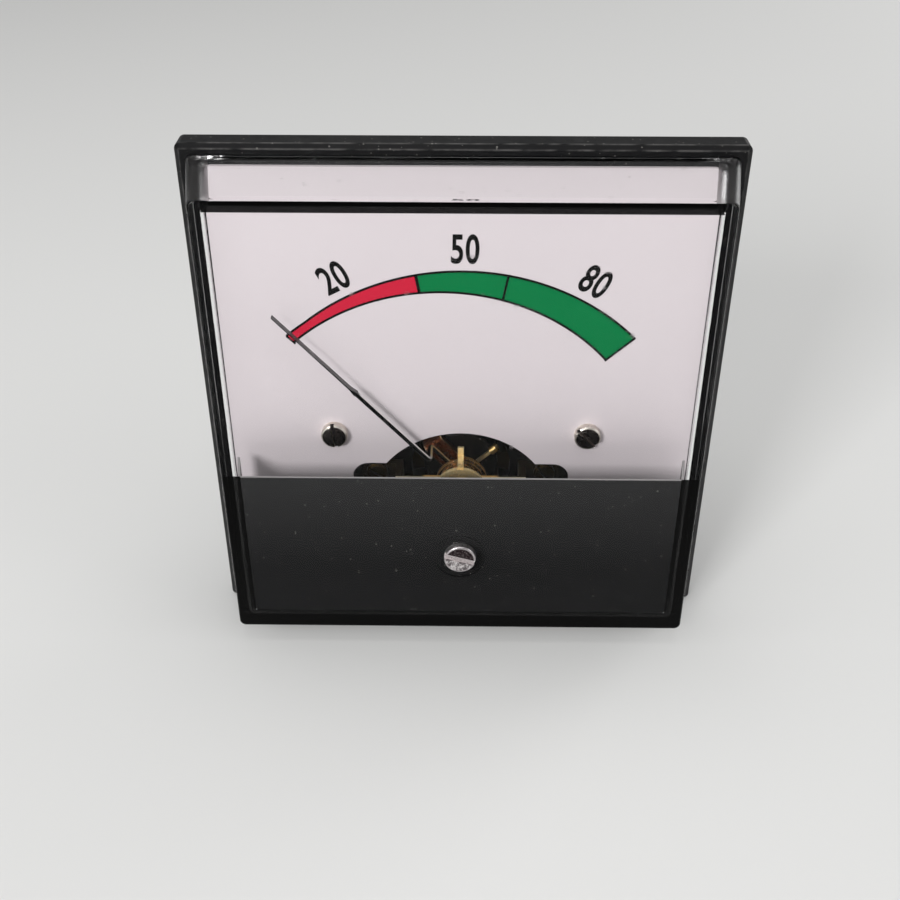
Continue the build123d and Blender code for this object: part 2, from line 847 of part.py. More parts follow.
def zero_adjust_screw():
    front = cover_face - zero_head_stand
    head = rod(zero_head_radius, cover_face + zero_head_sink - running_clear, front)
    head = fillet(front_rim(head), zero_head_round)
    slot = slot_cut(zero_head_radius, front, zero_slot_depth, zero_slot_turn, zero_slot_width)
    shank_back = mask_back + 4 * running_clear + 2 * retainer_thick
    shank = rod(zero_shank_radius, shank_back, cover_face)
    pin = rod(eccentric_radius, bar_front - 0.1, shank_back, 0, eccentric)
    return Pos(0, 0, zero_screw_z) * (head + shank + pin - slot)


def zero_screw_retainer():
    front = mask_back + 4 * running_clear
    ring = Circle(retainer_radius) - Circle(zero_shank_radius + 0.02)
    return slab(ring, front + retainer_thick, front, 0, zero_screw_z)


def terminal_studs():
    seat = floor_face - lug_thick
    head = slab(RegularPolygon(terminal_flats / 2, 6, major_radius=False), seat, seat - terminal_head)
    stud = rod(terminal_radius, terminal_face + terminal_reach, seat)
    stud = chamfer(back_rim(stud), 0.6)
    return group(both_sides(Pos(terminal_x, 0, terminal_z) * (head + stud)))


def terminal_washers():
    back = terminal_face + terminal_washer_thick
    bore = terminal_radius + fixed_clear
    return group(both_sides(tube(terminal_washer_radius, bore, back, terminal_face, terminal_x, terminal_z)))


def terminal_nuts():
    nuts = []
    front = terminal_face + terminal_washer_thick
    for offset in (0, terminal_nut_height + terminal_nut_gap):
        back = front + offset + terminal_nut_height
        bore = terminal_radius + fixed_clear
        nuts += both_sides(hex_nut(terminal_flats, bore, back, front + offset, terminal_x, terminal_z))
    return group(nuts)


def solder_lugs():
    ring = Circle(terminal_flats / 2) + Pos(-lug_reach / 2, 0) * Rectangle(lug_reach, lug_width)
    ring -= Circle(terminal_radius + fixed_clear)
    lug = slab(ring, floor_face, floor_face - lug_thick, terminal_x, terminal_z)
    return group(both_sides(lug))


def lead_wires():
    # Each lead runs from its lug across the floor and turns forward, to the frame or to the rear spring clip
    lug_end = terminal_x - lug_reach + wire_overlap
    frame_end = [(-lug_end, wire_level, terminal_z), (0, wire_level, terminal_z)]
    frame_end.append((0, frame_back + wire_end_gap, terminal_z))
    clip_z = pivot_z + clip_tail - clip_wire_inset
    clip_end = [(lug_end, wire_level, terminal_z), (0, wire_level, clip_z)]
    clip_end.append((0, rear_bar_back + corrector_thick + wire_end_gap, clip_z))
    wires = []
    for points in (frame_end, clip_end):
        path = FilletPolyline(*points, radius=wire_bend)
        section = Plane(origin=path @ 0, z_dir=path % 0) * Circle(wire_radius)
        wire = sweep(section, path=path)
        share = wire.volume / (path.length * pi * wire_radius**2)
        print("lead", round(path.length, 2), "volume share", round(share, 4))
        wires.append(wire)
    return group(wires)


def mounting_studs():
    head = rod(stud_head_radius, -stud_embed + stud_head - fixed_clear, -stud_embed + fixed_clear)
    root = rod(stud_thread_radius, 0, -stud_embed + stud_head / 2)
    thread = chamfer(back_rim(rod(stud_thread_radius, stud_reach, stud_shank)), stud_chamfer)
    stud = head + root + rod(stud_radius, stud_shank, 0) + thread
    return group([Pos(x, 0, z) * stud for x, z in stud_places()])


def mounting_nuts():
    back = stud_reach - stud_nut_end
    nut = hex_nut(stud_nut_flats, stud_thread_radius + fixed_clear, back, back - stud_nut_height)
    return group([Pos(x, 0, z) * nut for x, z in stud_places()])


def mounting_washers():
    back = stud_reach - stud_nut_end - stud_nut_height
    ring = tube(stud_washer_radius, stud_thread_radius + fixed_clear, back, back - stud_washer_thick)
    return group([Pos(x, 0, z) * ring for x, z in stud_places()])


nodes = [
    base_housing, front_cover, lower_mask, cover_screws, zero_adjust_screw, zero_screw_retainer,
    dial_plate, dial_screws, dial_posts, movement_frame, movement_screws, yoke_ring, yoke_screws,
    core_magnet, core_spacers, bridge_pillars, front_bridge, bridge_screws, front_jewel_screw,
    front_lock_nut, zero_corrector_arm, front_hairspring, rear_bridge, rear_bridge_screws,
    rear_jewel_screw, rear_lock_nut, rear_spring_abutment, rear_hairspring, coil_frame, coil_winding,
    front_pivot, rear_pivot, pointer, balance_cross, balance_weights, pointer_stops, terminal_studs,
    terminal_nuts, terminal_washers, solder_lugs, lead_wires, mounting_studs, mounting_nuts,
    mounting_washers,
]

os.makedirs("parts", exist_ok=True)
for node in nodes:
    export_step(node(), f"parts/{node.__name__}.step")
print("hairspring least gap", round(spiral_gap(), 3))
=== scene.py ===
import math
import bmesh
import bpy
from mathutils import Matrix, Vector


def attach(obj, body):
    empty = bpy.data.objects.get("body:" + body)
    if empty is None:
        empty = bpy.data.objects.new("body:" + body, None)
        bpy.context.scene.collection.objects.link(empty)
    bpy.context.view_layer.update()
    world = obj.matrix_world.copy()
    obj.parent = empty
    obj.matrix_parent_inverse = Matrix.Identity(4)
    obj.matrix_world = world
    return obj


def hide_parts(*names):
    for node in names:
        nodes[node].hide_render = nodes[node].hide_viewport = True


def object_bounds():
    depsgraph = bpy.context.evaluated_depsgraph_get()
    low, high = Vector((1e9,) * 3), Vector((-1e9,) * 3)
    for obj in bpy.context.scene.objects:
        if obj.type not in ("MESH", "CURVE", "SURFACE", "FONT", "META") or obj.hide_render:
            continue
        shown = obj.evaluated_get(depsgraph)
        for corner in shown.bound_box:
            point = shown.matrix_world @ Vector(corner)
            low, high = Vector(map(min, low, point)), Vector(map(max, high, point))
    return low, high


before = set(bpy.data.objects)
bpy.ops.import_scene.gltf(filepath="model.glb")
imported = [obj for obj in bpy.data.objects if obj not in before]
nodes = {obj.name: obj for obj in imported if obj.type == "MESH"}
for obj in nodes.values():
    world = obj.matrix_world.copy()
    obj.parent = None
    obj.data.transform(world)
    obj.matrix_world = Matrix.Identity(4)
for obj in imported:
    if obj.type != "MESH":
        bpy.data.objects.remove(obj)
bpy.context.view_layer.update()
mm = 0.001
weld = 0.000002  # points nearer than this, in metres, are one
pivot = Vector((0, 0, -12.3))  # in mm, as all lengths below until they reach a mesh
dialFace = -5.7
coilTurn = -42.3  # in degrees from upright, of coil and pointer at rest
print("frame loaded:", len(nodes), "nodes")


# Scene, camera and light

cameraLook = {
    "place": (0.47, -206.71, 129.48), "pitch": 33.90, "yaw": -0.76, "lens": 47.6, "sensor": 36, "near": 5
}
lightLook = {
    "key": {"place": (-506, -880, 462), "aim": (0, 0, 5), "size": 300, "watts": 7.6},
    "top": {"place": (-120, -120, 900), "aim": (0, -5, 5), "size": 900, "watts": 3.2},
    "side": {"place": (900, -280, 400), "aim": (0, 0, 10), "size": 600, "watts": 1.7},
    "back": {"place": (800, 700, 320), "aim": (0, 0, 5), "size": 500, "watts": 3.0},
    "world": (0.36, 0.36, 0.36),
    "floor": (0.74, 0.74, 0.73), "floorReach": 4.0, "floorRough": 0.85, "floorShine": 0.15,
}


def newObject(name, data):
    thing = bpy.data.objects.new(name, data)
    bpy.context.scene.collection.objects.link(thing)
    return thing


def meshFrom(loose):
    # The plain mesh that a text, a curve or a modified object shows, in place of the object
    bpy.context.view_layer.update()
    mesh = bpy.data.meshes.new_from_object(loose.evaluated_get(bpy.context.evaluated_depsgraph_get()))
    bpy.data.objects.remove(loose)
    return mesh


def placeCamera():
    pitch = math.radians(cameraLook["pitch"])
    yaw = math.radians(cameraLook["yaw"])
    ahead = Vector((math.sin(yaw) * math.cos(pitch), math.cos(yaw) * math.cos(pitch), -math.sin(pitch)))
    right = Vector((math.cos(yaw), -math.sin(yaw), 0))
    up = right.cross(ahead)
    turn = Matrix((right, up, -ahead)).transposed().to_4x4()
    data = bpy.data.cameras.new("photoCamera")
    data.lens = cameraLook["lens"]
    data.sensor_width = cameraLook["sensor"]
    data.clip_start = cameraLook["near"] * mm
    camera = newObject("photoCamera", data)
    camera.matrix_world = Matrix.Translation(Vector(cameraLook["place"]) * mm) @ turn
    bpy.context.scene.camera = camera


def placeLamp(name, look):
    data = bpy.data.lights.new(name, "AREA")
    data.shape = "SQUARE"
    data.size = look["size"] * mm
    data.energy = look["watts"]
    lamp = newObject(name, data)
    place = Vector(look["place"]) * mm
    ahead = Vector(look["aim"]) * mm - place
    lamp.matrix_world = Matrix.Translation(place) @ ahead.to_track_quat("-Z", "Y").to_matrix().to_4x4()


def addNode(tree, kind, inputs=None, **settings):
    # A node with its settings, where each input is a link or a plain value
    node = tree.nodes.new(kind)
    for key, value in settings.items():
        setattr(node, key, value)
    for key, value in (inputs or {}).items():
        if isinstance(value, bpy.types.NodeSocket):
            tree.links.new(value, node.inputs[key])
        else:
            node.inputs[key].default_value = value
    return node


def mathNode(tree, operation, *values, clamp=False):
    inputs = dict(enumerate(values))
    return addNode(tree, "ShaderNodeMath", inputs, operation=operation, use_clamp=clamp).outputs[0]


def times(tree, first, second, clamp=False):
    return mathNode(tree, "MULTIPLY", first, second, clamp=clamp)


def plus(tree, first, second, clamp=False):
    return mathNode(tree, "ADD", first, second, clamp=clamp)


def minus(tree, first, second, clamp=False):
    return mathNode(tree, "SUBTRACT", first, second, clamp=clamp)


def vectorMath(tree, operation, first, second):
    return addNode(tree, "ShaderNodeVectorMath", {0: first, 1: second}, operation=operation).outputs


def mixColour(tree, factor, first, second):
    first, second = [(*end, 1) if isinstance(end, tuple) else end for end in (first, second)]
    inputs = {0: factor, 6: first, 7: second}
    return addNode(tree, "ShaderNodeMix", inputs, data_type="RGBA", clamp_factor=True).outputs[2]


def spread(tree, value, low, high, toLow=0.0, toHigh=1.0):
    return addNode(tree, "ShaderNodeMapRange", {0: value, 1: low, 2: high, 3: toLow, 4: toHigh}).outputs[0]


def coordinate(tree, kind="Object"):
    return tree.nodes.new("ShaderNodeTexCoord").outputs[kind]


def partsOf(tree, vector):
    return addNode(tree, "ShaderNodeSeparateXYZ", {0: vector}).outputs


def noiseAt(tree, where, scale, detail, rough=0.5, warp=0.0):
    inputs = {"Vector": where, "Scale": scale, "Detail": detail, "Roughness": rough, "Distortion": warp}
    return addNode(tree, "ShaderNodeTexNoise", inputs).outputs["Fac"]


def inMetres(lengths):
    return [length * mm for length in lengths]


def makeWorld():
    world = bpy.data.worlds.new("studio")
    bpy.context.scene.world = world
    world.use_nodes = True
    tree = world.node_tree
    tree.nodes.clear()
    lit = addNode(tree, "ShaderNodeBackground", {"Color": (*lightLook["world"], 1), "Strength": 1.0})
    addNode(tree, "ShaderNodeOutputWorld", {"Surface": lit.outputs[0]})


def makeFloor():
    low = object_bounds()[0][2]
    mesh = bpy.data.meshes.new("floor")
    reach = lightLook["floorReach"]
    corners = [(x * reach, y * reach, low) for x, y in ((-1, -1), (1, -1), (1, 1), (-1, 1))]
    mesh.from_pydata(corners, [], [(0, 1, 2, 3)])
    floor = newObject("floor", mesh)
    material = bpy.data.materials.new("floorPaper")
    material.use_nodes = True
    shader = material.node_tree.nodes["Principled BSDF"]
    shader.inputs["Base Color"].default_value = (*lightLook["floor"], 1)
    shader.inputs["Roughness"].default_value = lightLook["floorRough"]
    shader.inputs["Specular IOR Level"].default_value = lightLook["floorShine"]
    mesh.materials.append(material)


placeCamera()
for lampName in ("key", "top", "side", "back"):
    placeLamp(lampName + "Lamp", lightLook[lampName])
makeWorld()
makeFloor()
bpy.context.scene.view_settings.view_transform = "Standard"
print("camera, lamps and floor placed")


# Shared effects, each a node group that puts out masks and values

def newGroup(name, inputs, outputs):
    tree = bpy.data.node_groups.new(name, "ShaderNodeTree")
    for label, value in inputs.items():
        kind = "NodeSocketVector" if isinstance(value, tuple) else "NodeSocketFloat"
        socket = tree.interface.new_socket(label, in_out="INPUT", socket_type=kind)
        socket.default_value = value
    for label in outputs:
        tree.interface.new_socket(label, in_out="OUTPUT", socket_type="NodeSocketFloat")
    return tree, tree.nodes.new("NodeGroupInput").outputs, tree.nodes.new("NodeGroupOutput").inputs


dustShape = {
    "lies": (-0.35, 0.9), "falls": (-0.9, 0.6), "patchGrain": 70.0, "patches": (0.42, 0.72),
    "fleckSize": (0.86, 1.0, 0.0, 0.30),
}
wearShape = {"turned": (0.995, 0.80), "gaps": (0.38, 0.68), "mouldedGaps": (0.36, 0.62)}
scratchShape = {
    "turns": ((0.5, 3.0), (-0.9, 8.0)), "drawn": 26.0, "warp": 0.15, "line": 0.0045, "gapGrain": 9.0,
    "gaps": (0.52, 0.62),
}


def dustGroup():
    # Dust that settles on what faces up: a thin veil in patches, and single flecks
    tree, given, out = newGroup("settledDust", {"Veil": 0.3, "Flecks": 0.5, "Grain": 1500.0}, ["Mask"])
    where = coordinate(tree)
    facing = tree.nodes.new("ShaderNodeNewGeometry").outputs["Normal"]
    up = partsOf(tree, facing)["Z"]
    lying = spread(tree, up, *dustShape["lies"])
    patches = noiseAt(tree, where, dustShape["patchGrain"], 5.0, 0.6)
    veil = times(tree, spread(tree, patches, *dustShape["patches"]), given["Veil"])
    cells = addNode(
        tree, "ShaderNodeTexVoronoi", {"Vector": where, "Scale": given["Grain"], "Randomness": 1.0}
    )
    size = addNode(tree, "ShaderNodeSeparateColor", {0: cells.outputs["Color"]})
    kept = spread(tree, size.outputs[0], *dustShape["fleckSize"])
    dots = mathNode(tree, "LESS_THAN", cells.outputs["Distance"], kept)
    flecks = times(tree, dots, given["Flecks"])
    both = mathNode(
        tree, "MAXIMUM", times(tree, veil, lying),
        times(tree, flecks, spread(tree, up, *dustShape["falls"]))
    )
    tree.links.new(mathNode(tree, "MINIMUM", both, 1.0), out["Mask"])
    return tree


def wearGroup():
    # Rubbed edges: where a rounded normal leaves the true one, broken up by noise
    tree, given, out = newGroup("rubbedEdges", {"Width": 0.0005, "Amount": 0.6, "Grain": 400.0}, ["Mask"])
    where = coordinate(tree)
    facing = tree.nodes.new("ShaderNodeNewGeometry").outputs["Normal"]
    rounded = addNode(tree, "ShaderNodeBevel", {"Radius": given["Width"]}, samples=3).outputs[0]
    same = vectorMath(tree, "DOT_PRODUCT", facing, rounded)["Value"]
    edge = spread(tree, same, *wearShape["turned"])
    broken = noiseAt(tree, where, given["Grain"], 4.0)
    worn = times(tree, edge, spread(tree, broken, *wearShape["gaps"]))
    tree.links.new(times(tree, worn, given["Amount"], clamp=True), out["Mask"])
    return tree


def mouldedEdgeGroup():
    # Rubbed edges of a large box, straight or tapered, found from its three nearest faces
    sizes = {"HalfWidth": 0.05, "HalfHeight": 0.05, "Middle": 0.0, "Front": 0.0, "Root": 0.0, "Slope": 0.0}
    tree, given, out = newGroup(
        "mouldedEdges", {**sizes, "Round": 0.0005, "Width": 0.0002, "Amount": 0.6, "Grain": 260.0}, ["Mask"]
    )
    where = coordinate(tree)
    parts = partsOf(tree, where)
    drawn = times(tree, minus(tree, given["Root"], parts["Y"]), given["Slope"])
    aside = minus(tree, minus(tree, given["HalfWidth"], drawn), mathNode(tree, "ABSOLUTE", parts["X"]))
    height = mathNode(tree, "ABSOLUTE", minus(tree, parts["Z"], given["Middle"]))
    above = minus(tree, minus(tree, given["HalfHeight"], drawn), height)
    behind = minus(tree, parts["Y"], given["Front"])
    least = mathNode(tree, "MINIMUM", aside, above)
    most = mathNode(tree, "MAXIMUM", aside, above)
    second = mathNode(tree, "MAXIMUM", least, mathNode(tree, "MINIMUM", most, behind))
    away = mathNode(tree, "ABSOLUTE", minus(tree, second, given["Round"]))
    edge = minus(tree, 1.0, mathNode(tree, "DIVIDE", away, given["Width"]), clamp=True)
    broken = noiseAt(tree, where, given["Grain"], 4.0)
    worn = times(tree, edge, spread(tree, broken, *wearShape["mouldedGaps"]))
    tree.links.new(times(tree, worn, given["Amount"], clamp=True), out["Mask"])
    return tree


def toolGroup():
    # Marks of a tool or a mould: noise drawn out along one direction, and its own height
    tree, given, out = newGroup("toolMarks", {"Stretch": (1.0, 1.0, 1.0), "Grain": 900.0}, ["Value"])
    where = coordinate(tree)
    drawn = vectorMath(tree, "MULTIPLY", where, given["Stretch"])[0]
    marks = noiseAt(tree, drawn, given["Grain"], 4.0, 0.65)
    tree.links.new(spread(tree, marks, 0.3, 0.7), out["Value"])
    return tree


def scratchGroup():
    # Hairline scratches in two directions, few and far between
    tree, given, out = newGroup("hairScratches", {"Amount": 0.5, "Grain": 55.0}, ["Mask"])
    where = coordinate(tree)
    total = None
    for turn, seed in scratchShape["turns"]:
        mapped = addNode(
            tree, "ShaderNodeMapping",
            {
                "Vector": where, "Rotation": (0, turn, 0), "Scale": (1.0, 1.0, scratchShape["drawn"]),
                "Location": (seed, 0, 0)
            }
        )
        noise = noiseAt(tree, mapped.outputs[0], given["Grain"], 2.0, warp=scratchShape["warp"])
        line = spread(tree, mathNode(tree, "ABSOLUTE", minus(tree, noise, 0.5)), scratchShape["line"], 0.0)
        gaps = noiseAt(tree, mapped.outputs[0], scratchShape["gapGrain"], 1.0)
        line = times(tree, line, spread(tree, gaps, *scratchShape["gaps"]))
        total = line if total is None else mathNode(tree, "MAXIMUM", total, line)
    tree.links.new(times(tree, total, given["Amount"]), out["Mask"])
    return tree


effects = {
    "dust": dustGroup(), "wear": wearGroup(), "moulded": mouldedEdgeGroup(),
    "marks": toolGroup(), "scratches": scratchGroup(),
}


def useEffect(tree, name, **values):
    node = tree.nodes.new("ShaderNodeGroup")
    node.node_tree = effects[name]
    for key, value in values.items():
        node.inputs[key].default_value = value
    return node.outputs[0]


dustColour = (0.46, 0.44, 0.41)


def blankMaterial(name):
    material = bpy.data.materials.new(name)
    material.use_nodes = True
    tree = material.node_tree
    tree.nodes.clear()
    shader = tree.nodes.new("ShaderNodeBsdfPrincipled")
    return material, tree, shader


def endMaterial(tree, output):
    out = tree.nodes.new("ShaderNodeOutputMaterial")
    tree.links.new(output, out.inputs["Surface"])


def finishMaterial(name, look, colour=None):
    # One finish: two tones by tool marks, rubbed edges, scratches and dust, with its own gloss and relief
    material, tree, shader = blankMaterial(name)
    marks = useEffect(tree, "marks", Stretch=look.get("stretch", (1, 1, 1)), Grain=look.get("grain", 900.0))
    blotches = useEffect(tree, "marks", Stretch=(1, 1, 1), Grain=look.get("blotch", 90.0))
    tone = plus(tree, times(tree, marks, 0.5), times(tree, blotches, 0.5))
    base = colour(tree) if colour else mixColour(tree, tone, look["light"], look["dark"])
    bare = look.get("bare") or look["light"]
    if "box" in look:
        base = mixColour(tree, useEffect(tree, "moulded", **look["box"]), base, bare)
    elif "rub" in look:
        base = mixColour(
            tree, useEffect(tree, "wear", Width=look.get("edge", 0.3) * mm, Amount=look["rub"]), base, bare
        )
    scratches = useEffect(
        tree, "scratches", Amount=look.get("scratch", 0.3), Grain=look.get("scratchGrain", 55.0)
    )
    base = mixColour(tree, scratches, base, bare)
    dust = useEffect(
        tree, "dust", Veil=look.get("veil", 0.2), Flecks=look.get("flecks", 0.4),
        Grain=look.get("fleckGrain", 1500.0)
    )
    base = mixColour(tree, dust, base, dustColour)
    tree.links.new(base, shader.inputs["Base Color"])
    low, high = look["rough"]
    rough = spread(tree, tone, 0.0, 1.0, low, high)
    rough = plus(tree, rough, times(tree, dust, 0.5), clamp=True)
    tree.links.new(rough, shader.inputs["Roughness"])
    metal = look.get("metal", 0.0)
    if metal:
        tree.links.new(times(tree, minus(tree, 1.0, dust), metal), shader.inputs["Metallic"])
    shader.inputs["Specular IOR Level"].default_value = look.get("shine", 0.5)
    height = minus(tree, marks, scratches)
    bump = addNode(
        tree, "ShaderNodeBump",
        {"Height": height, "Strength": look.get("relief", 0.2), "Distance": look.get("depth", 0.02) * mm}
    )
    tree.links.new(bump.outputs[0], shader.inputs["Normal"])
    endMaterial(tree, shader.outputs[0])
    return material


brass = {
    "light": (0.80, 0.60, 0.27), "dark": (0.55, 0.37, 0.14), "bare": (0.92, 0.76, 0.42), "metal": 1.0,
    "rough": (0.22, 0.42), "veil": 0.12, "flecks": 0.25
}
steel = {
    "light": (0.62, 0.61, 0.58), "dark": (0.40, 0.39, 0.37), "bare": (0.80, 0.79, 0.76), "metal": 1.0,
    "rough": (0.25, 0.48), "veil": 0.2, "flecks": 0.3
}
ink = {
    "rough": (0.45, 0.6), "veil": 0.0, "flecks": 0.10, "scratch": 0.0, "shine": 0.06, "relief": 0.08,
    "grain": 3000.0
}


def like(look, **changes):
    return {**look, **changes}


flangeBox = {
    "HalfWidth": 50.8 * mm, "HalfHeight": 51.9 * mm, "Middle": 6 * mm, "Front": -4.9 * mm, "Root": 0.0,
    "Slope": 0.0, "Round": 0.9 * mm, "Width": 0.22 * mm, "Amount": 0.8, "Grain": 330.0
}
coverBox = {
    "HalfWidth": 48.9 * mm, "HalfHeight": 50.0 * mm, "Middle": 6 * mm, "Front": -19.4 * mm,
    "Root": -4.9 * mm, "Slope": 0.1835, "Round": 0.25 * mm, "Width": 0.26 * mm, "Amount": 0.4,
    "Grain": 260.0
}

finishes = {
    "blackPhenolic": {
        "light": (0.0055, 0.0055, 0.006), "dark": (0.0035, 0.0035, 0.004), "bare": (0.10, 0.097, 0.095),
        "rough": (0.34, 0.50), "box": flangeBox, "veil": 0.012, "flecks": 0.26, "scratch": 0.12,
        "shine": 0.12, "relief": 0.10, "grain": 500.0
    },
    "maskPlastic": {
        "bare": (0.10, 0.10, 0.10), "rough": (0.45, 0.60), "veil": 0.0, "flecks": 0.32,
        "fleckGrain": 1300.0, "scratch": 0.0, "shine": 0.2, "relief": 0.0, "grain": 900.0
    },
    "zeroNickel": like(
        steel, bare=(0.90, 0.86, 0.86), rough=(0.20, 0.40), veil=0.02, flecks=0.1, scratch=0.5,
        scratchGrain=260.0, relief=0.4, depth=0.03, grain=1500.0
    ),
    "dialNickel": like(
        steel, rough=(0.22, 0.36), veil=0.02, flecks=0.1, scratch=0.2, scratchGrain=240.0, relief=0.25,
        depth=0.02, grain=1500.0
    ),
    "zincSteel": like(steel, light=(0.56, 0.57, 0.58), dark=(0.38, 0.38, 0.38), blotch=240.0),
    "springSteel": like(steel, light=(0.32, 0.33, 0.38), dark=(0.20, 0.21, 0.24), rough=(0.2, 0.35)),
    "pivotSteel": like(
        steel, light=(0.56, 0.56, 0.58), dark=(0.42, 0.42, 0.44), rough=(0.12, 0.25), veil=0.05
    ),
    "turnedBrass": like(
        brass, light=(0.48, 0.34, 0.14), dark=(0.28, 0.18, 0.065), stretch=(1, 14, 1), relief=0.3
    ),
    # Brass darkened to near black as painted shade behind the dial, with real rubbed edges and dust
    "wornBrassPaintedShade": like(
        brass, veil=0.0, flecks=0.1, light=(0.06, 0.037, 0.013), dark=(0.02, 0.012, 0.005),
        bare=(0.42, 0.30, 0.13), rough=(0.28, 0.5), edge=0.15, rub=0.5
    ),
    "bridgeBrass": like(
        brass, metal=0.35, bare=(1.0, 0.90, 0.66), stretch=(0.15, 1, 6), rough=(0.22, 0.42), veil=0.0,
        flecks=0.05, relief=0.3
    ),
    "brightBrass": like(
        brass, metal=0.45, veil=0.0, blotch=500.0, light=(1.0, 0.82, 0.48), dark=(0.70, 0.48, 0.19),
        bare=(1.0, 0.92, 0.72), rough=(0.16, 0.32), edge=0.2, rub=0.9
    ),
    "nutBrass": like(
        brass, light=(0.74, 0.55, 0.25), dark=(0.50, 0.34, 0.14), rough=(0.22, 0.40), scratch=0.5,
        scratchGrain=120.0
    ),
    "springBronze": like(
        brass, metal=0.7, light=(0.50, 0.32, 0.14), dark=(0.26, 0.15, 0.06), rough=(0.22, 0.36), veil=0.0,
        flecks=0.0, scratch=0.0
    ),
    "tinnedBrass": like(brass, light=(0.66, 0.63, 0.54), dark=(0.50, 0.46, 0.38), blotch=400.0),
    # Cast aluminium and the dark irons below are darkened to near black as painted shade of the movement's
    # inside
    "castAluminiumPaintedShade": like(
        steel, veil=0.0, flecks=0.1, light=(0.014, 0.013, 0.013), dark=(0.006, 0.006, 0.006),
        rough=(0.50, 0.70), grain=2200.0, relief=0.45, scratch=0.0
    ),
    "blackIron": {
        "light": (0.008, 0.007, 0.007), "dark": (0.003, 0.003, 0.003), "bare": (0.08, 0.06, 0.05),
        "metal": 0.85, "rough": (0.35, 0.55), "edge": 0.15, "rub": 0.4, "veil": 0.0, "relief": 0.3,
        "grain": 1400.0, "scratch": 0.0
    },
    "coreIron": {
        "light": (0.020, 0.017, 0.015), "dark": (0.011, 0.010, 0.009), "bare": (0.20, 0.18, 0.16),
        "metal": 0.9, "rough": (0.3, 0.5), "veil": 0.03, "relief": 0.3, "stretch": (1, 1, 8), "scratch": 0.2
    },
    "formerAluminium": like(
        steel, veil=0.03, flecks=0.0, light=(0.22, 0.14, 0.09), dark=(0.11, 0.07, 0.04), rough=(0.25, 0.42),
        scratch=0.0
    ),
    "crossAluminium": like(
        steel, light=(0.74, 0.64, 0.42), dark=(0.46, 0.37, 0.21), bare=(0.96, 0.90, 0.74),
        rough=(0.22, 0.38), edge=0.15, rub=0.6, scratch=0.0
    ),
    "insulation": {
        "light": (0.42, 0.03, 0.022), "dark": (0.28, 0.02, 0.015), "bare": (0.5, 0.08, 0.06),
        "rough": (0.35, 0.5), "veil": 0.1, "relief": 0.15, "scratch": 0.0
    },
    "dialEnamel": {
        "rough": (0.34, 0.46), "bare": (0.60, 0.58, 0.59), "veil": 0.04, "flecks": 0.20, "scratch": 0.02,
        "shine": 0.1, "relief": 0.06, "grain": 1500.0
    },
    "pointerMetal": like(
        steel, bare=(0.5, 0.5, 0.5), rough=(0.25, 0.4), veil=0.0, flecks=0.02, metal=0.5, scratch=0.0,
        shine=0.15
    ),
    "copperTurns": {
        "bare": (0.80, 0.36, 0.16), "metal": 0.7, "rough": (0.24, 0.4), "veil": 0.03, "flecks": 0.1,
        "relief": 0.2, "scratch": 0.0
    },
    "copperWire": {
        "light": (0.27, 0.09, 0.033), "dark": (0.12, 0.034, 0.012), "metal": 0.85, "rough": (0.2, 0.34),
        "veil": 0.02, "flecks": 0.1, "relief": 0.1, "scratch": 0.0, "blotch": 500.0
    },
    "redInk": like(ink, light=(0.64, 0.020, 0.055), dark=(0.58, 0.016, 0.045)),
    "greenInk": like(ink, light=(0.0015, 0.20, 0.058), dark=(0.001, 0.175, 0.050)),
    "blackInk": like(ink, light=(0.006, 0.006, 0.006), dark=(0.004, 0.004, 0.004)),
}


# Colours of the finishes that need more than two tones

dialLook = {
    # The second tone is greyer, used low down and in soft patches
    "plainTone": (0.74, 0.675, 0.70), "dimTone": (0.68, 0.615, 0.64), "top": 50, "bottom": -20, "grain": 45.0
}


def dialColour(tree):
    # White enamel, a touch greyer low down and in soft patches
    where = coordinate(tree)
    height = partsOf(tree, where)["Z"]
    low = spread(tree, height, dialLook["top"] * mm, dialLook["bottom"] * mm)
    soft = noiseAt(tree, where, dialLook["grain"], 3.0)
    dimTone = times(tree, plus(tree, low, soft), 0.5)
    return mixColour(tree, dimTone, dialLook["plainTone"], dialLook["dimTone"])


pointerLook = {
    # The line colour is a painted highlight; black is painted shade on the pointer's lower left, where side
    # points
    "line": (0.72, 0.70, 0.69), "gold": (0.80, 0.62, 0.34), "black": (0.002, 0.002, 0.002),
    "grey": (0.17, 0.165, 0.165), "greyDark": (0.06, 0.058, 0.06),
    "side": (-0.74, 0.0, -0.673), "blade": (30.5, 31.5), "bend": (12.6, 11.4), "bladeFace": (-7.75, -7.60),
    "highlightLineTurn": (-0.90, -0.76), "shadedEdgeTurn": (-0.90, -0.80), "grain": 1600.0,
}


def pointerColour(tree):
    # Wire painted black on its lower side as painted shade, with one bright line along its upper side as a
    # painted highlight, gold at the bend, and a grey blade with painted shade along both edges
    facing = coordinate(tree, "Normal")
    shadedSideFacing = vectorMath(tree, "DOT_PRODUCT", facing, pointerLook["side"])["Value"]
    where = coordinate(tree)
    depth = partsOf(tree, where)["Y"]
    out = vectorMath(tree, "DISTANCE", where, tuple(pivot * mm))["Value"]
    blade = spread(tree, out, *inMetres(pointerLook["blade"]))
    # Painted shade on the wire everywhere but a painted bright line facing up and right
    wire = spread(tree, shadedSideFacing, *pointerLook["highlightLineTurn"])
    back = spread(tree, depth, *inMetres(pointerLook["bladeFace"]))
    # Painted shade along the blade's edges and its back
    shadedEdges = mathNode(tree, "MAXIMUM", spread(tree, shadedSideFacing, *pointerLook["shadedEdgeTurn"]), back)
    dark = addNode(tree, "ShaderNodeMix", {0: blade, 2: wire, 3: shadedEdges}).outputs[0]
    worn = noiseAt(tree, where, pointerLook["grain"], 3.0)
    grey = mixColour(tree, worn, pointerLook["grey"], pointerLook["greyDark"])
    bend = spread(tree, out, *inMetres(pointerLook["bend"]))
    bare = mixColour(tree, blade, mixColour(tree, bend, pointerLook["line"], pointerLook["gold"]), grey)
    return mixColour(tree, dark, bare, pointerLook["black"])


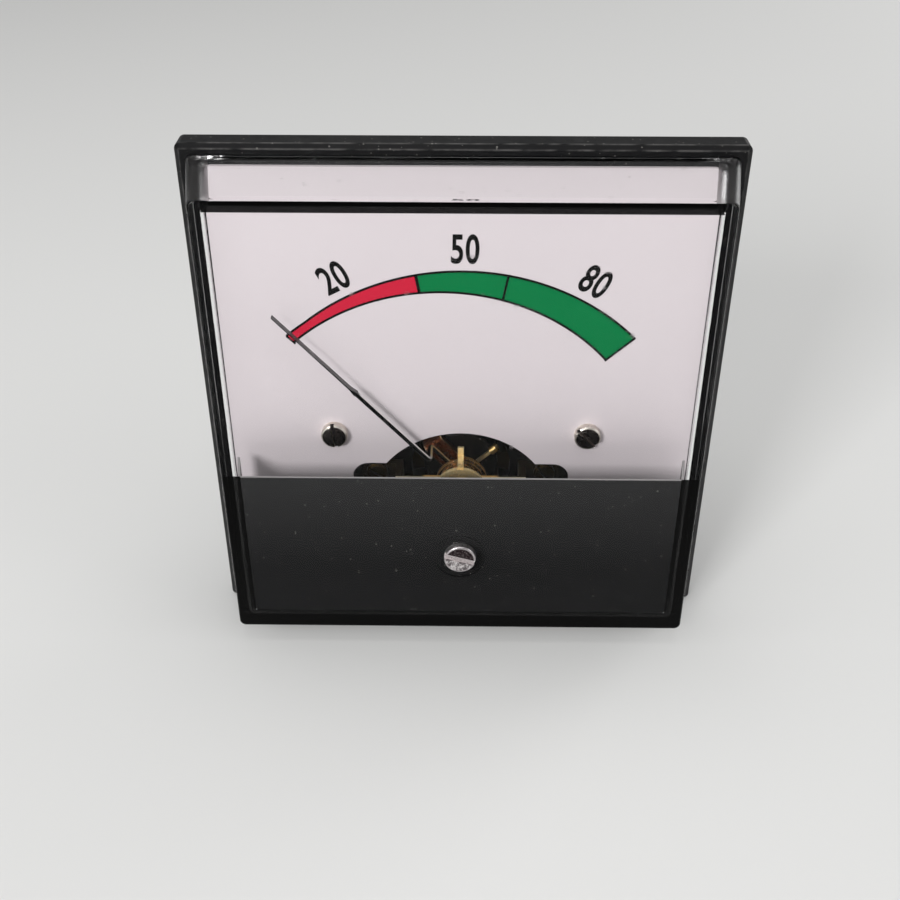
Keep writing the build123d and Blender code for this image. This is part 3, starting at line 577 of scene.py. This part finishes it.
zeroLook = {
    "level": -22.4, "lean": 16.0, "split": (0.45, 0.60), "slotBack": -20.2,
    "low": ((0.16, 0.14, 0.145), (0.80, 0.76, 0.76)), "high": ((0.022, 0.014, 0.016), (0.20, 0.17, 0.17)),
    "edge": (0.62, 0.58, 0.59), "rim": (2.72, 2.86), "rimShare": 0.75, "slot": (0.95, 0.90, 0.90),
    "patchGrain": 650.0, "patches": (0.46, 0.56), "speckGrain": 2600.0, "specks": (0.50, 0.72),
}


def zeroColour(tree):
    # Dark above the slot, bright in it as a painted reflection over the slot's own shade, in uneven patches
    # below, with a bright rim
    where = coordinate(tree)
    parts = partsOf(tree, where)
    lean = math.tan(math.radians(zeroLook["lean"]))
    rise = plus(tree, parts["Z"], -zeroLook["level"] * mm)
    level = mathNode(tree, "MULTIPLY_ADD", parts["X"], lean, rise)
    reach = mathNode(
        tree, "SQRT", mathNode(tree, "MULTIPLY_ADD", parts["X"], parts["X"], times(tree, rise, rise))
    )
    patches = noiseAt(tree, where, zeroLook["patchGrain"], 4.0, 0.7)
    specks = noiseAt(tree, where, zeroLook["speckGrain"], 3.0, 0.7)
    above = spread(tree, level, *inMetres(zeroLook["split"]))
    low = mixColour(tree, spread(tree, patches, *zeroLook["patches"]), *zeroLook["low"])
    high = mixColour(tree, spread(tree, specks, *zeroLook["specks"]), *zeroLook["high"])
    face = mixColour(tree, above, low, high)
    inner, outer = zeroLook["rim"]
    face = mixColour(
        tree, spread(tree, reach, inner * mm, outer * mm, 0.0, zeroLook["rimShare"]), face, zeroLook["edge"]
    )
    # The slot's bright colour is a painted reflection that makes up for the shade of its walls
    inSlot = mathNode(tree, "GREATER_THAN", parts["Y"], zeroLook["slotBack"] * mm)
    return mixColour(tree, inSlot, face, zeroLook["slot"])


bridgeLook = {
    "dimTone": ((0.030, 0.020, 0.009), (0.012, 0.008, 0.004)),
    "gold": ((0.90, 0.56, 0.20), (0.54, 0.31, 0.09)),
    "paintedTopHighlight": (1.0, 0.90, 0.66), "disc": (8.2, 7.4), "frontEdge": (-7.2, -7.5), "grain": 1400.0,
    "up": (0.6, 0.8),
}


def bridgeColour(tree):
    # Brass darkened on its face as painted shade, with a painted highlight along its top edge, and bright
    # gold on its middle disc
    facing = coordinate(tree, "Normal")
    up = partsOf(tree, facing)["Z"]
    where = coordinate(tree)
    flat = vectorMath(tree, "MULTIPLY", where, (1, 0, 1))[0]
    out = vectorMath(tree, "DISTANCE", flat, (0, 0, pivot.z * mm))["Value"]
    specks = noiseAt(tree, where, bridgeLook["grain"], 4.0, 0.7)
    dimTone = mixColour(tree, specks, *bridgeLook["dimTone"])
    gold = mixColour(tree, specks, *bridgeLook["gold"])
    face = mixColour(tree, spread(tree, out, *inMetres(bridgeLook["disc"])), dimTone, gold)
    depth = partsOf(tree, where)["Y"]
    front = spread(tree, depth, *inMetres(bridgeLook["frontEdge"]))
    # Painted highlight on the up-facing front top edge
    top = times(tree, spread(tree, up, *bridgeLook["up"]), front)
    return mixColour(tree, top, face, bridgeLook["paintedTopHighlight"])


screwLook = {
    "faceDark": ((0.026, 0.019, 0.019), (0.20, 0.16, 0.15)), "rim": (0.66, 0.61, 0.55), "grain": 2200.0,
    "specks": (0.45, 0.75), "front": (0.955, 0.985)
}


def screwFaceColour(tree):
    # A dark speckled face and slot inside a lighter rounded rim
    facing = coordinate(tree, "Normal")
    front = times(tree, partsOf(tree, facing)["Y"], -1.0)
    where = coordinate(tree)
    specks = noiseAt(tree, where, screwLook["grain"], 4.0, 0.75)
    dark = mixColour(tree, spread(tree, specks, *screwLook["specks"]), *screwLook["faceDark"])
    return mixColour(tree, spread(tree, front, *screwLook["front"]), screwLook["rim"], dark)


maskLook = {
    "low": (0.009, 0.009, 0.0095), "high": (0.028, 0.028, 0.0285), "from": -26, "to": -5,
    # cut is the colour of a painted highlight on the sheet's up-facing top edge
    "cut": (0.34, 0.33, 0.33), "litEdgeTurn": (0.7, 0.95),
}


def maskColour(tree):
    # Dark grey, a touch lighter towards its top, with a painted highlight on its up-facing top edge where
    # the sheet ends there
    up = partsOf(tree, coordinate(tree, "Normal"))["Z"]
    height = partsOf(tree, coordinate(tree))["Z"]
    share = spread(tree, height, maskLook["from"] * mm, maskLook["to"] * mm)
    face = mixColour(tree, share, maskLook["low"], maskLook["high"])
    return mixColour(tree, spread(tree, up, *maskLook["litEdgeTurn"]), face, maskLook["cut"])


copperLook = {"between": (0.07, 0.018, 0.007), "wire": (0.26, 0.085, 0.028), "scale": 900.0}


def windingColour(tree):
    # Enamelled copper turns lying side by side along the coil
    where = coordinate(tree)
    turned = addNode(
        tree, "ShaderNodeMapping", {"Vector": where, "Rotation": (0, math.radians(coilTurn), 0)}
    )
    turns = addNode(
        tree, "ShaderNodeTexWave",
        {"Vector": turned.outputs[0], "Scale": copperLook["scale"], "Distortion": 0.4, "Detail": 1.0},
        bands_direction="X"
    )
    return mixColour(tree, turns.outputs["Fac"], copperLook["between"], copperLook["wire"])


colours = {
    "dialEnamel": dialColour, "maskPlastic": maskColour, "zeroNickel": zeroColour,
    "dialNickel": screwFaceColour, "bridgeBrass": bridgeColour, "pointerMetal": pointerColour,
    "copperTurns": windingColour,
}
materials = {name: finishMaterial(name, look, colours.get(name)) for name, look in finishes.items()}
print("finishes built:", len(materials))

clearLook = {
    "tint": (0.975, 0.98, 0.98), "frost": (0.90, 0.90, 0.90), "index": 1.49, "sheen": (0.06, 0.06, 0.06),
    "smears": {"Stretch": (1, 1, 0.5), "Grain": 60.0}, "scratches": {"Amount": 0.5, "Grain": 50.0},
    "dust": {"Veil": 0.06, "Flecks": 0.6, "Grain": 520.0},
    "rough": (0.3, 1.0, 0.0, 0.05), "markedRough": 0.4, "relief": 0.15, "depth": 0.01,
    "glancing": 5.0, "turnedBack": (0.96, 0.04), "skin": 0.1,
    "endWidth": 4.0, "endRough": 0.35, "endPaintedGrey": (0.50, 0.485, 0.49), "topWall": 2.4,
    "rimPaintedShade": (0.0005, 0.0005, 0.0005), "rimTop": 2.1, "rimEnd": 2.4, "rimFoot": 4.5, "rimSide": 3.7,
    "rimStart": -2.9,
}


def endMask(tree):
    # The two ends of the top wall, made rough and painted grey as shade where the side walls stand below
    # them
    where = coordinate(tree)
    parts = partsOf(tree, where)
    drawn = times(tree, minus(tree, coverBox["Root"], parts["Y"]), coverBox["Slope"])
    aside = minus(tree, minus(tree, coverBox["HalfWidth"], drawn), mathNode(tree, "ABSOLUTE", parts["X"]))
    below = minus(
        tree, minus(tree, coverBox["HalfHeight"], drawn), minus(tree, parts["Z"], coverBox["Middle"])
    )
    onTop = mathNode(tree, "LESS_THAN", below, clearLook["topWall"] * mm)
    behind = mathNode(tree, "GREATER_THAN", parts["Y"], coverBox["Front"] + clearLook["skin"] * mm)
    return times(
        tree, mathNode(tree, "LESS_THAN", aside, clearLook["endWidth"] * mm), times(tree, onTop, behind)
    )


def paintedShadeRimMask(tree):
    # The front face's rim along its top and round the mask, painted black as shade where walls behind turn
    # the view aside
    where = coordinate(tree)
    parts = partsOf(tree, where)
    drawn = (coverBox["Root"] - coverBox["Front"]) * coverBox["Slope"]
    halfWidth = coverBox["HalfWidth"] - drawn
    halfHeight = coverBox["HalfHeight"] - drawn
    rise = minus(tree, parts["Z"], coverBox["Middle"])
    across = mathNode(tree, "ABSOLUTE", parts["X"])
    top = mathNode(tree, "GREATER_THAN", rise, halfHeight - clearLook["rimTop"] * mm)
    top = times(tree, top, mathNode(tree, "LESS_THAN", across, halfWidth - clearLook["rimEnd"] * mm))
    foot = mathNode(tree, "LESS_THAN", rise, clearLook["rimFoot"] * mm - halfHeight)
    side = mathNode(tree, "GREATER_THAN", across, halfWidth - clearLook["rimSide"] * mm)
    side = times(tree, side, mathNode(tree, "LESS_THAN", parts["Z"], clearLook["rimStart"] * mm))
    rim = mathNode(tree, "MAXIMUM", mathNode(tree, "MAXIMUM", top, foot), side)
    return times(
        tree, rim, mathNode(tree, "LESS_THAN", parts["Y"], coverBox["Front"] + clearLook["skin"] * mm)
    )


def clearMaterial():
    # Clear acrylic with finger marks, hairlines and dust, which lets lamps through to the dial
    material, tree, shader = blankMaterial("clearAcrylic")
    smears = useEffect(tree, "marks", **clearLook["smears"])
    scratches = useEffect(tree, "scratches", **clearLook["scratches"])
    dust = useEffect(tree, "dust", **clearLook["dust"])
    marked = mathNode(
        tree, "MAXIMUM", mathNode(tree, "MAXIMUM", dust, scratches), useEffect(tree, "moulded", **coverBox)
    )
    ends = endMask(tree)
    rough = spread(tree, smears, *clearLook["rough"])
    rough = plus(tree, rough, times(tree, marked, clearLook["markedRough"]))
    rough = mathNode(tree, "MAXIMUM", rough, times(tree, ends, clearLook["endRough"]))
    tree.links.new(rough, shader.inputs["Roughness"])
    tint = mixColour(tree, marked, clearLook["tint"], clearLook["frost"])
    # Painted shade: the ends' tint turns them grey
    tint = mixColour(tree, ends, tint, clearLook["endPaintedGrey"])
    # Painted shade: the rim's colour is set near black
    tree.links.new(mixColour(tree, paintedShadeRimMask(tree), tint, clearLook["rimPaintedShade"]), shader.inputs["Base Color"])
    shader.inputs["Transmission Weight"].default_value = 1.0
    shader.inputs["IOR"].default_value = clearLook["index"]
    shader.inputs["Specular Tint"].default_value = (*clearLook["sheen"], 1)
    bump = addNode(
        tree, "ShaderNodeBump",
        {"Height": marked, "Strength": clearLook["relief"], "Distance": clearLook["depth"] * mm}
    )
    tree.links.new(bump.outputs[0], shader.inputs["Normal"])
    slant = addNode(tree, "ShaderNodeLayerWeight", {"Blend": 0.5}).outputs["Facing"]
    glancing = mathNode(tree, "POWER", slant, clearLook["glancing"])
    # Share of the light that each face turns back
    lost = mathNode(tree, "MULTIPLY_ADD", glancing, *clearLook["turnedBack"])
    through = addNode(
        tree, "ShaderNodeBsdfTransparent",
        {"Color": mixColour(tree, lost, (1.0, 1.0, 1.0), (0.0, 0.0, 0.0))}
    )
    path = tree.nodes.new("ShaderNodeLightPath")
    # The lamps' light goes straight through, so that the dial and the shadows are lit only once
    lighting = mathNode(tree, "MAXIMUM", path.outputs["Is Shadow Ray"], path.outputs["Is Diffuse Ray"])
    mix = addNode(tree, "ShaderNodeMixShader", {0: lighting, 1: shader.outputs[0], 2: through.outputs[0]})
    endMaterial(tree, mix.outputs[0])
    return material


materials["clearAcrylic"] = clearMaterial()

wearers = {
    "blackPhenolic": ["base_housing"],
    "clearAcrylic": ["front_cover"],
    "maskPlastic": ["lower_mask"],
    "zincSteel": [
        "cover_screws", "movement_screws", "yoke_screws", "rear_bridge_screws", "mounting_studs",
        "mounting_nuts", "mounting_washers"
    ],
    "zeroNickel": ["zero_adjust_screw"],
    "springSteel": ["zero_screw_retainer"],
    "dialEnamel": ["dial_plate"],
    "dialNickel": ["dial_screws"],
    "wornBrassPaintedShade": ["dial_posts", "core_spacers", "bridge_pillars", "bridge_screws"],
    "castAluminiumPaintedShade": ["movement_frame"],
    "blackIron": ["yoke_ring"],
    "coreIron": ["core_magnet"],
    "bridgeBrass": ["front_bridge", "rear_bridge"],
    "brightBrass": [
        "front_jewel_screw", "front_lock_nut", "zero_corrector_arm", "rear_jewel_screw", "rear_lock_nut",
        "rear_spring_abutment"
    ],
    "springBronze": ["front_hairspring", "rear_hairspring"],
    "formerAluminium": ["coil_frame"],
    "copperTurns": ["coil_winding"],
    "pivotSteel": ["front_pivot", "rear_pivot", "pointer_stops"],
    "pointerMetal": ["pointer"],
    "crossAluminium": ["balance_cross"],
    "turnedBrass": ["balance_weights", "terminal_studs"],
    "nutBrass": ["terminal_nuts", "terminal_washers"],
    "tinnedBrass": ["solder_lugs"],
    "insulation": ["lead_wires"],
}
for finishName, nodeNames in wearers.items():
    for nodeName in nodeNames:
        if not nodes[nodeName].material_slots:
            nodes[nodeName].data.materials.append(materials[finishName])
        for slot in nodes[nodeName].material_slots:
            slot.material = materials[finishName]
print("finishes on every node:", sum(len(nodeNames) for nodeNames in wearers.values()))


# Printed dial: a band in two colours with its black lines, and plain numbers

band = {
    "outer": 46.47, "inner": 42.4, "innerCentre": (-3.86, -0.14),
    "start": -45.5, "split": -10.6, "tick": 10.7, "end": 44.7, "rise": 0.42,
    "line": 0.46, "film": 0.02, "lineFilm": 0.03,
    "startInner": 44.5, "startOuter": 46.85, "endOuter": 46.6, "endInner": 39.2, "tickInner": 41.4,
    "endLean": 0.45, "splitShare": 1.3, "sunk": 0.005, "step": 1.2, "swell": 6.0,
}
numbers = {
    "20": {"turn": -27.6}, "50": {"turn": 0.6}, "80": {"turn": 28.8},
    "low": 48.4, "height": 5.9, "narrow": 0.66, "weight": 0.020, "gap": 1.06, "smooth": 6, "thick": 0.02,
}


def onDial(turn, radius):
    angle = math.radians(turn)
    return Vector((radius * math.sin(angle), radius * math.cos(angle)))


def innerRadius(turn):
    # Distance from the pivot to the band's lower edge, an arc about a centre of its own
    along = onDial(turn, 1.0)
    centre = Vector(band["innerCentre"])
    step = along.dot(centre)
    return step + math.sqrt(step * step - centre.length_squared + band["inner"] ** 2)


def outerRadius(turn):
    # The band's upper edge, a touch further out over its first degrees
    near = max(0.0, 1.0 - (turn - band["start"]) / band["swell"])
    return band["outer"] + (band["startOuter"] - band["outer"]) * near


def plateMesh(name, outlines, film, material):
    # Thin closed plates on the dial's face, from flat outlines round the pivot
    work = bmesh.new()
    for outline in outlines:
        places = [(p.x + pivot.x, p.y + pivot.z + band["rise"]) for p in outline]
        back = [work.verts.new((x * mm, (dialFace + band["sunk"]) * mm, z * mm)) for x, z in places]
        front = [work.verts.new((x * mm, (dialFace - film) * mm, z * mm)) for x, z in places]
        work.faces.new(front)
        work.faces.new(back[::-1])
        for index in range(len(places)):
            after = (index + 1) % len(places)
            work.faces.new((front[index], back[index], back[after], front[after]))
    bmesh.ops.recalc_face_normals(work, faces=work.faces)
    mesh = bpy.data.meshes.new(name)
    work.to_mesh(mesh)
    work.free()
    mesh.materials.append(material)
    return newObject(name, mesh)


def strip(points, width):
    # Outline of a line of constant width along some points
    left, right = [], []
    for index, point in enumerate(points):
        before = points[max(index - 1, 0)]
        after = points[min(index + 1, len(points) - 1)]
        side = (after - before).normalized().orthogonal() * width / 2
        left.append(point + side)
        right.append(point - side)
    return left + right[::-1]


def turnsBetween(first, last):
    count = max(2, round((last - first) / band["step"]))
    return [first + (last - first) * index / count for index in range(count + 1)]


def bandPart(first, last, lean=0.0):
    # Outline of the band between two turns, the last one leaning over at its outer end
    turns = turnsBetween(first, last)
    outer = [onDial(turn, outerRadius(turn)) for turn in turns]
    if lean:
        outer[-1] = onDial(last + lean, band["endOuter"])
    return outer + [onDial(turn, innerRadius(turn)) for turn in turns[::-1]]


def makeBand():
    start, split, tick, end = [band[key] for key in ("start", "split", "tick", "end")]
    last = end + band["endLean"]
    red = plateMesh("dialBandRed", [bandPart(start, split)], band["film"], materials["redInk"])
    green = plateMesh(
        "dialBandGreen", [bandPart(split, end, band["endLean"])], band["film"], materials["greenInk"]
    )
    turns = turnsBetween(start, end)
    paths = [
        ([onDial(turn, outerRadius(turn)) for turn in turns + [last]], 1.0),
        ([onDial(turn, innerRadius(turn)) for turn in turns], 1.0),
        ([onDial(start, band["startInner"]), onDial(start, band["startOuter"])], 1.0),
        ([onDial(split, innerRadius(split)), onDial(split, band["outer"])], band["splitShare"]),
        ([onDial(tick, band["tickInner"]), onDial(tick, band["outer"])], 1.0),
        ([onDial(end, band["endInner"]), onDial(last, band["endOuter"])], 1.0),
    ]
    lines = [strip(points, band["line"] * share) for points, share in paths]
    black = plateMesh("dialBandLines", lines, band["lineFilm"], materials["blackInk"])
    return [red, green, black]


def numberMesh(text, turn):
    # Condensed upright numbers, made flat, brought to height and laid along the arc
    curve = bpy.data.curves.new("number" + text, "FONT")
    curve.body = text
    curve.align_x = "CENTER"
    curve.offset = numbers["weight"]
    curve.space_character = numbers["gap"]
    curve.resolution_u = numbers["smooth"]
    curve.extrude = numbers["thick"]
    mesh = meshFrom(newObject("looseNumber", curve))
    lowest = min(v.co.y for v in mesh.vertices)
    highest = max(v.co.y for v in mesh.vertices)
    scale = numbers["height"] / (highest - lowest)
    angle = math.radians(turn)
    for vertex in mesh.vertices:
        x = vertex.co.x * scale * numbers["narrow"]
        up = numbers["low"] + (vertex.co.y - lowest) * scale
        depth = dialFace - band["lineFilm"] if vertex.co.z > 0 else dialFace + band["sunk"]
        vertex.co = Vector(
            (
                pivot.x + up * math.sin(angle) + x * math.cos(angle), depth,
                pivot.z + up * math.cos(angle) - x * math.sin(angle)
            )
        ) * mm
    return mesh


def makeNumbers():
    work = bmesh.new()
    for text in ("20", "50", "80"):
        work.from_mesh(numberMesh(text, numbers[text]["turn"]))
    bmesh.ops.remove_doubles(work, verts=work.verts, dist=weld)
    bmesh.ops.recalc_face_normals(work, faces=work.faces)
    mesh = bpy.data.meshes.new("dialNumbers")
    work.to_mesh(mesh)
    work.free()
    mesh.materials.clear()
    mesh.materials.append(materials["blackInk"])
    return newObject("dialNumbers", mesh)


for piece in makeBand() + [makeNumbers()]:
    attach(piece, "meter_body")
print("dial printed")


# Threaded studs, wound turns and leads

sharpAngle = math.radians(38)


def growTree(name, inputs):
    # An empty Geometry Nodes tree with named inputs, each a starting value
    tree = bpy.data.node_groups.new(name, "GeometryNodeTree")
    tree.interface.new_socket("Geometry", in_out="INPUT", socket_type="NodeSocketGeometry")
    kinds = {int: "NodeSocketInt", float: "NodeSocketFloat", tuple: "NodeSocketVector"}
    for label, value in inputs.items():
        kind = kinds.get(type(value), "NodeSocketMaterial")
        socket = tree.interface.new_socket(label, in_out="INPUT", socket_type=kind)
        if kind != "NodeSocketMaterial":
            socket.default_value = value
    tree.interface.new_socket("Geometry", in_out="OUTPUT", socket_type="NodeSocketGeometry")
    return tree, tree.nodes.new("NodeGroupInput").outputs, tree.nodes.new("NodeGroupOutput").inputs


def endTree(tree, shape, material, out):
    whole = addNode(tree, "GeometryNodeRealizeInstances", {"Geometry": shape}).outputs[0]
    whole = addNode(tree, "GeometryNodeSetMaterial", {"Geometry": whole, "Material": material}).outputs[0]
    tree.links.new(whole, out["Geometry"])


def grown(name, seed, tree, values):
    # The tree's result on a seed mesh, as one plain closed mesh with its faces outward
    holder = newObject("looseSeed", seed)
    modifier = holder.modifiers.new(tree.name, "NODES")
    modifier.node_group = tree
    for item in tree.interface.items_tree:
        if item.in_out == "INPUT" and item.name in values:
            modifier[item.identifier] = values[item.name]
    mesh = meshFrom(holder)
    work = bmesh.new()
    work.from_mesh(mesh)
    bmesh.ops.recalc_face_normals(work, faces=work.faces)
    work.to_mesh(mesh)
    work.free()
    mesh.name = name
    mesh.shade_smooth()
    mesh.set_sharp_from_angle(angle=sharpAngle)
    return newObject(name, mesh)


def rodPart(tree, radius, sides, front, back):
    # A plain rod or prism along Y between two depths
    long = minus(tree, back, front)
    rod = addNode(
        tree, "GeometryNodeMeshCylinder", {"Vertices": sides, "Radius": radius, "Depth": long}
    ).outputs["Mesh"]
    middle = times(tree, plus(tree, back, front), 0.5)
    place = addNode(tree, "ShaderNodeCombineXYZ", {"Y": middle}).outputs[0]
    return addNode(
        tree, "GeometryNodeTransform",
        {"Geometry": rod, "Translation": place, "Rotation": (math.pi / 2, 0, 0)}
    ).outputs[0]


def studTree():
    # A stud with a cut thread, its plain shank and its head, set on every point of the seed
    sizes = {
        "Radius": 0.002, "Pitch": 0.0007, "Depth": 0.0004, "Front": 0.0, "Back": 0.01, "Chamfer": 0.0005,
        "Rows": 90, "Around": 36, "Shank Radius": 0.002, "Shank Front": 0.0, "Head Radius": 0.003,
        "Head Sides": 6, "Head Front": 0.0, "Head Back": 0.0
    }
    tree, given, out = growTree("threadedStud", {**sizes, "Finish": None})
    grid = addNode(
        tree, "GeometryNodeMeshGrid",
        {"Size X": 1.0, "Size Y": 1.0, "Vertices X": given["Rows"], "Vertices Y": given["Around"]}
    ).outputs["Mesh"]
    flat = partsOf(tree, tree.nodes.new("GeometryNodeInputPosition").outputs[0])
    last = minus(tree, given["Rows"], 1.0)
    row = times(tree, plus(tree, flat["X"], 0.5), last)
    inner = mathNode(tree, "DIVIDE", minus(tree, row, 1.0), minus(tree, last, 2.0), clamp=True)
    along = mathNode(
        tree, "MULTIPLY_ADD", inner, minus(tree, given["Back"], given["Front"]), given["Front"]
    )
    turn = plus(tree, flat["Y"], 0.5)
    wave = mathNode(tree, "FRACT", plus(tree, mathNode(tree, "DIVIDE", along, given["Pitch"]), turn))
    groove = mathNode(tree, "ABSOLUTE", mathNode(tree, "MULTIPLY_ADD", wave, 2.0, -1.0))
    radius = minus(tree, given["Radius"], times(tree, groove, given["Depth"]))
    tip = plus(tree, minus(tree, given["Radius"], given["Chamfer"]), minus(tree, given["Back"], along))
    radius = mathNode(tree, "MINIMUM", radius, tip)
    closed = times(
        tree, mathNode(tree, "GREATER_THAN", row, 0.5),
        mathNode(tree, "LESS_THAN", row, minus(tree, last, 0.5))
    )
    radius = times(tree, radius, closed)
    angle = times(tree, turn, 2 * math.pi)
    x = times(tree, radius, mathNode(tree, "COSINE", angle))
    z = times(tree, radius, mathNode(tree, "SINE", angle))
    place = addNode(tree, "ShaderNodeCombineXYZ", {"X": x, "Y": along, "Z": z}).outputs[0]
    thread = addNode(tree, "GeometryNodeSetPosition", {"Geometry": grid, "Position": place}).outputs[0]
    thread = addNode(tree, "GeometryNodeMergeByDistance", {"Geometry": thread, "Distance": weld}).outputs[0]
    shank = rodPart(tree, given["Shank Radius"], given["Around"], given["Shank Front"], given["Front"])
    head = rodPart(tree, given["Head Radius"], given["Head Sides"], given["Head Front"], given["Head Back"])
    join = tree.nodes.new("GeometryNodeJoinGeometry")
    for part in (thread, shank, head):
        tree.links.new(part, join.inputs[0])
    laid = addNode(
        tree, "GeometryNodeInstanceOnPoints", {"Points": given["Geometry"], "Instance": join.outputs[0]}
    ).outputs[0]
    endTree(tree, laid, given["Finish"], out)
    return tree


studSpacing = 76.2
studs = {
    "mounting_studs": {
        "Radius": 2.0, "Pitch": 0.7, "Depth": 0.36, "Front": 9.4, "Back": 16.0, "Chamfer": 0.5,
        "Shank Radius": 2.1, "Shank Front": 0.0,
        "Head Radius": 3.55, "Head Front": -3.15, "Head Back": -1.85, "Rows": 80, "Around": 36,
        "Head Sides": 36, "finish": "zincSteel",
        "places": [(x * studSpacing / 2, z * studSpacing / 2) for x in (-1, 1) for z in (-1, 1)],
    },
    "terminal_studs": {
        "Radius": 3.1, "Pitch": 0.8, "Depth": 0.42, "Front": 37.0, "Back": 53.8, "Chamfer": 0.6,
        "Shank Radius": 3.1, "Shank Front": 33.5,
        "Head Radius": 6.35, "Head Front": 31.5, "Head Back": 33.5, "Rows": 172, "Around": 40,
        "Head Sides": 6, "finish": "turnedBrass",
        "places": [(-19.0, 4.0), (19.0, 4.0)],
    },
}


def makeStuds(tree, node, look):
    seed = bpy.data.meshes.new("studPlaces")
    seed.from_pydata([(x * mm, 0, z * mm) for x, z in look["places"]], [], [])
    values = {key: value * mm for key, value in look.items() if isinstance(value, float)}
    values.update({key: look[key] for key in ("Rows", "Around", "Head Sides")})
    values["Finish"] = materials[look["finish"]]
    piece = grown(node.split("_")[0] + "Threads", seed, tree, values)
    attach(piece, "meter_body")
    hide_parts(node)
    return piece


threadTree = studTree()
for nodeName, look in studs.items():
    piece = makeStuds(threadTree, nodeName, look)
    print("threads cut:", piece.name, len(piece.data.polygons), "faces")


winding = {
    "turns": 20, "wire": 0.095, "width": 4.0, "half": 9.15, "front": -1.83, "back": 15.63, "corner": 1.7,
    "sides": 6, "cornerSteps": 6
}


def loopSeed():
    # One turn of wire round the coil, a rounded rectangle in the upright plane through the pivot
    corners = []
    halfLong = (winding["back"] - winding["front"]) / 2 - winding["corner"]
    halfHigh = winding["half"] - winding["corner"]
    middle = (winding["back"] + winding["front"]) / 2
    for quarter in range(4):
        cornerY = halfLong if quarter in (0, 3) else -halfLong
        cornerZ = halfHigh if quarter in (0, 1) else -halfHigh
        for step in range(winding["cornerSteps"] + 1):
            angle = math.radians(90 * (quarter + step / winding["cornerSteps"]))
            corners.append(
                (
                    0, middle + cornerY + winding["corner"] * math.cos(angle),
                    cornerZ + winding["corner"] * math.sin(angle)
                )
            )
    mesh = bpy.data.meshes.new("windingLoop")
    count = len(corners)
    mesh.from_pydata(
        [Vector(corner) * mm for corner in corners], [(i, (i + 1) % count) for i in range(count)], []
    )
    return mesh


def windingTree():
    # Round wire along the seed loop, laid side by side and turned to the coil's place
    sizes = {
        "Turns": 20, "Step": 0.0002, "Wire": 0.0001, "Turn": (0.0, 0.0, 0.0), "Place": (0.0, 0.0, 0.0),
        "Sides": 6
    }
    tree, given, out = growTree("windingTurns", {**sizes, "Finish": None})
    path = addNode(tree, "GeometryNodeMeshToCurve", {"Mesh": given["Geometry"]}).outputs[0]
    ring = addNode(
        tree, "GeometryNodeCurvePrimitiveCircle", {"Resolution": given["Sides"], "Radius": given["Wire"]}
    ).outputs[0]
    wire = addNode(tree, "GeometryNodeCurveToMesh", {"Curve": path, "Profile Curve": ring}).outputs[0]
    span = times(tree, given["Step"], minus(tree, given["Turns"], 1.0))
    first = addNode(tree, "ShaderNodeCombineXYZ", {"X": times(tree, span, -0.5)}).outputs[0]
    step = addNode(tree, "ShaderNodeCombineXYZ", {"X": given["Step"]}).outputs[0]
    row = addNode(
        tree, "GeometryNodeMeshLine", {"Count": given["Turns"], "Start Location": first, "Offset": step},
        mode="OFFSET"
    ).outputs[0]
    laid = addNode(tree, "GeometryNodeInstanceOnPoints", {"Points": row, "Instance": wire}).outputs[0]
    laid = addNode(
        tree, "GeometryNodeTransform",
        {"Geometry": laid, "Translation": given["Place"], "Rotation": given["Turn"]}
    ).outputs[0]
    endTree(tree, laid, given["Finish"], out)
    return tree


def makeWinding():
    values = {
        "Turns": winding["turns"], "Step": winding["width"] / winding["turns"] * mm,
        "Wire": winding["wire"] * mm, "Sides": winding["sides"],
        "Turn": (0.0, math.radians(coilTurn), 0.0), "Place": tuple(pivot * mm),
        "Finish": materials["copperWire"],
    }
    piece = grown("windingWires", loopSeed(), windingTree(), values)
    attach(piece, "moving_coil")
    return piece


print("coil wound:", len(makeWinding().data.polygons), "faces")


leads = {
    "routes": {
        "frameLead": [(-10.8, 32.9, 4.0), (0, 32.9, 4.0), (0, 17.35, 4.0)],
        "springLead": [(10.8, 32.9, 4.0), (0, 32.9, -4.1), (0, 21.95, -4.1)],
    },
    "radius": 0.5, "sides": 3, "steps": 24,
}


def tubeAlong(name, points, radius, finish):
    # A smooth tube whose line is a spline pulled by the route's points
    curve = bpy.data.curves.new(name, "CURVE")
    curve.dimensions = "3D"
    curve.bevel_depth = radius * mm
    curve.bevel_resolution = leads["sides"]
    curve.use_fill_caps = True
    curve.resolution_u = leads["steps"]
    spline = curve.splines.new("NURBS")
    spline.points.add(len(points) - 1)
    for point, place in zip(spline.points, points):
        point.co = (*(Vector(place) * mm), 1)
    spline.order_u = 3
    spline.use_endpoint_u = True
    mesh = meshFrom(newObject("looseLead", curve))
    mesh.name = name
    mesh.shade_smooth()
    mesh.materials.clear()
    mesh.materials.append(materials[finish])
    return newObject(name, mesh)


for leadName, route in leads["routes"].items():
    lead = tubeAlong(leadName, route, leads["radius"], "insulation")
    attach(lead, "meter_body")
    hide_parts("lead_wires")
print("leads laid:", len(leads["routes"]))
print("scene ready")
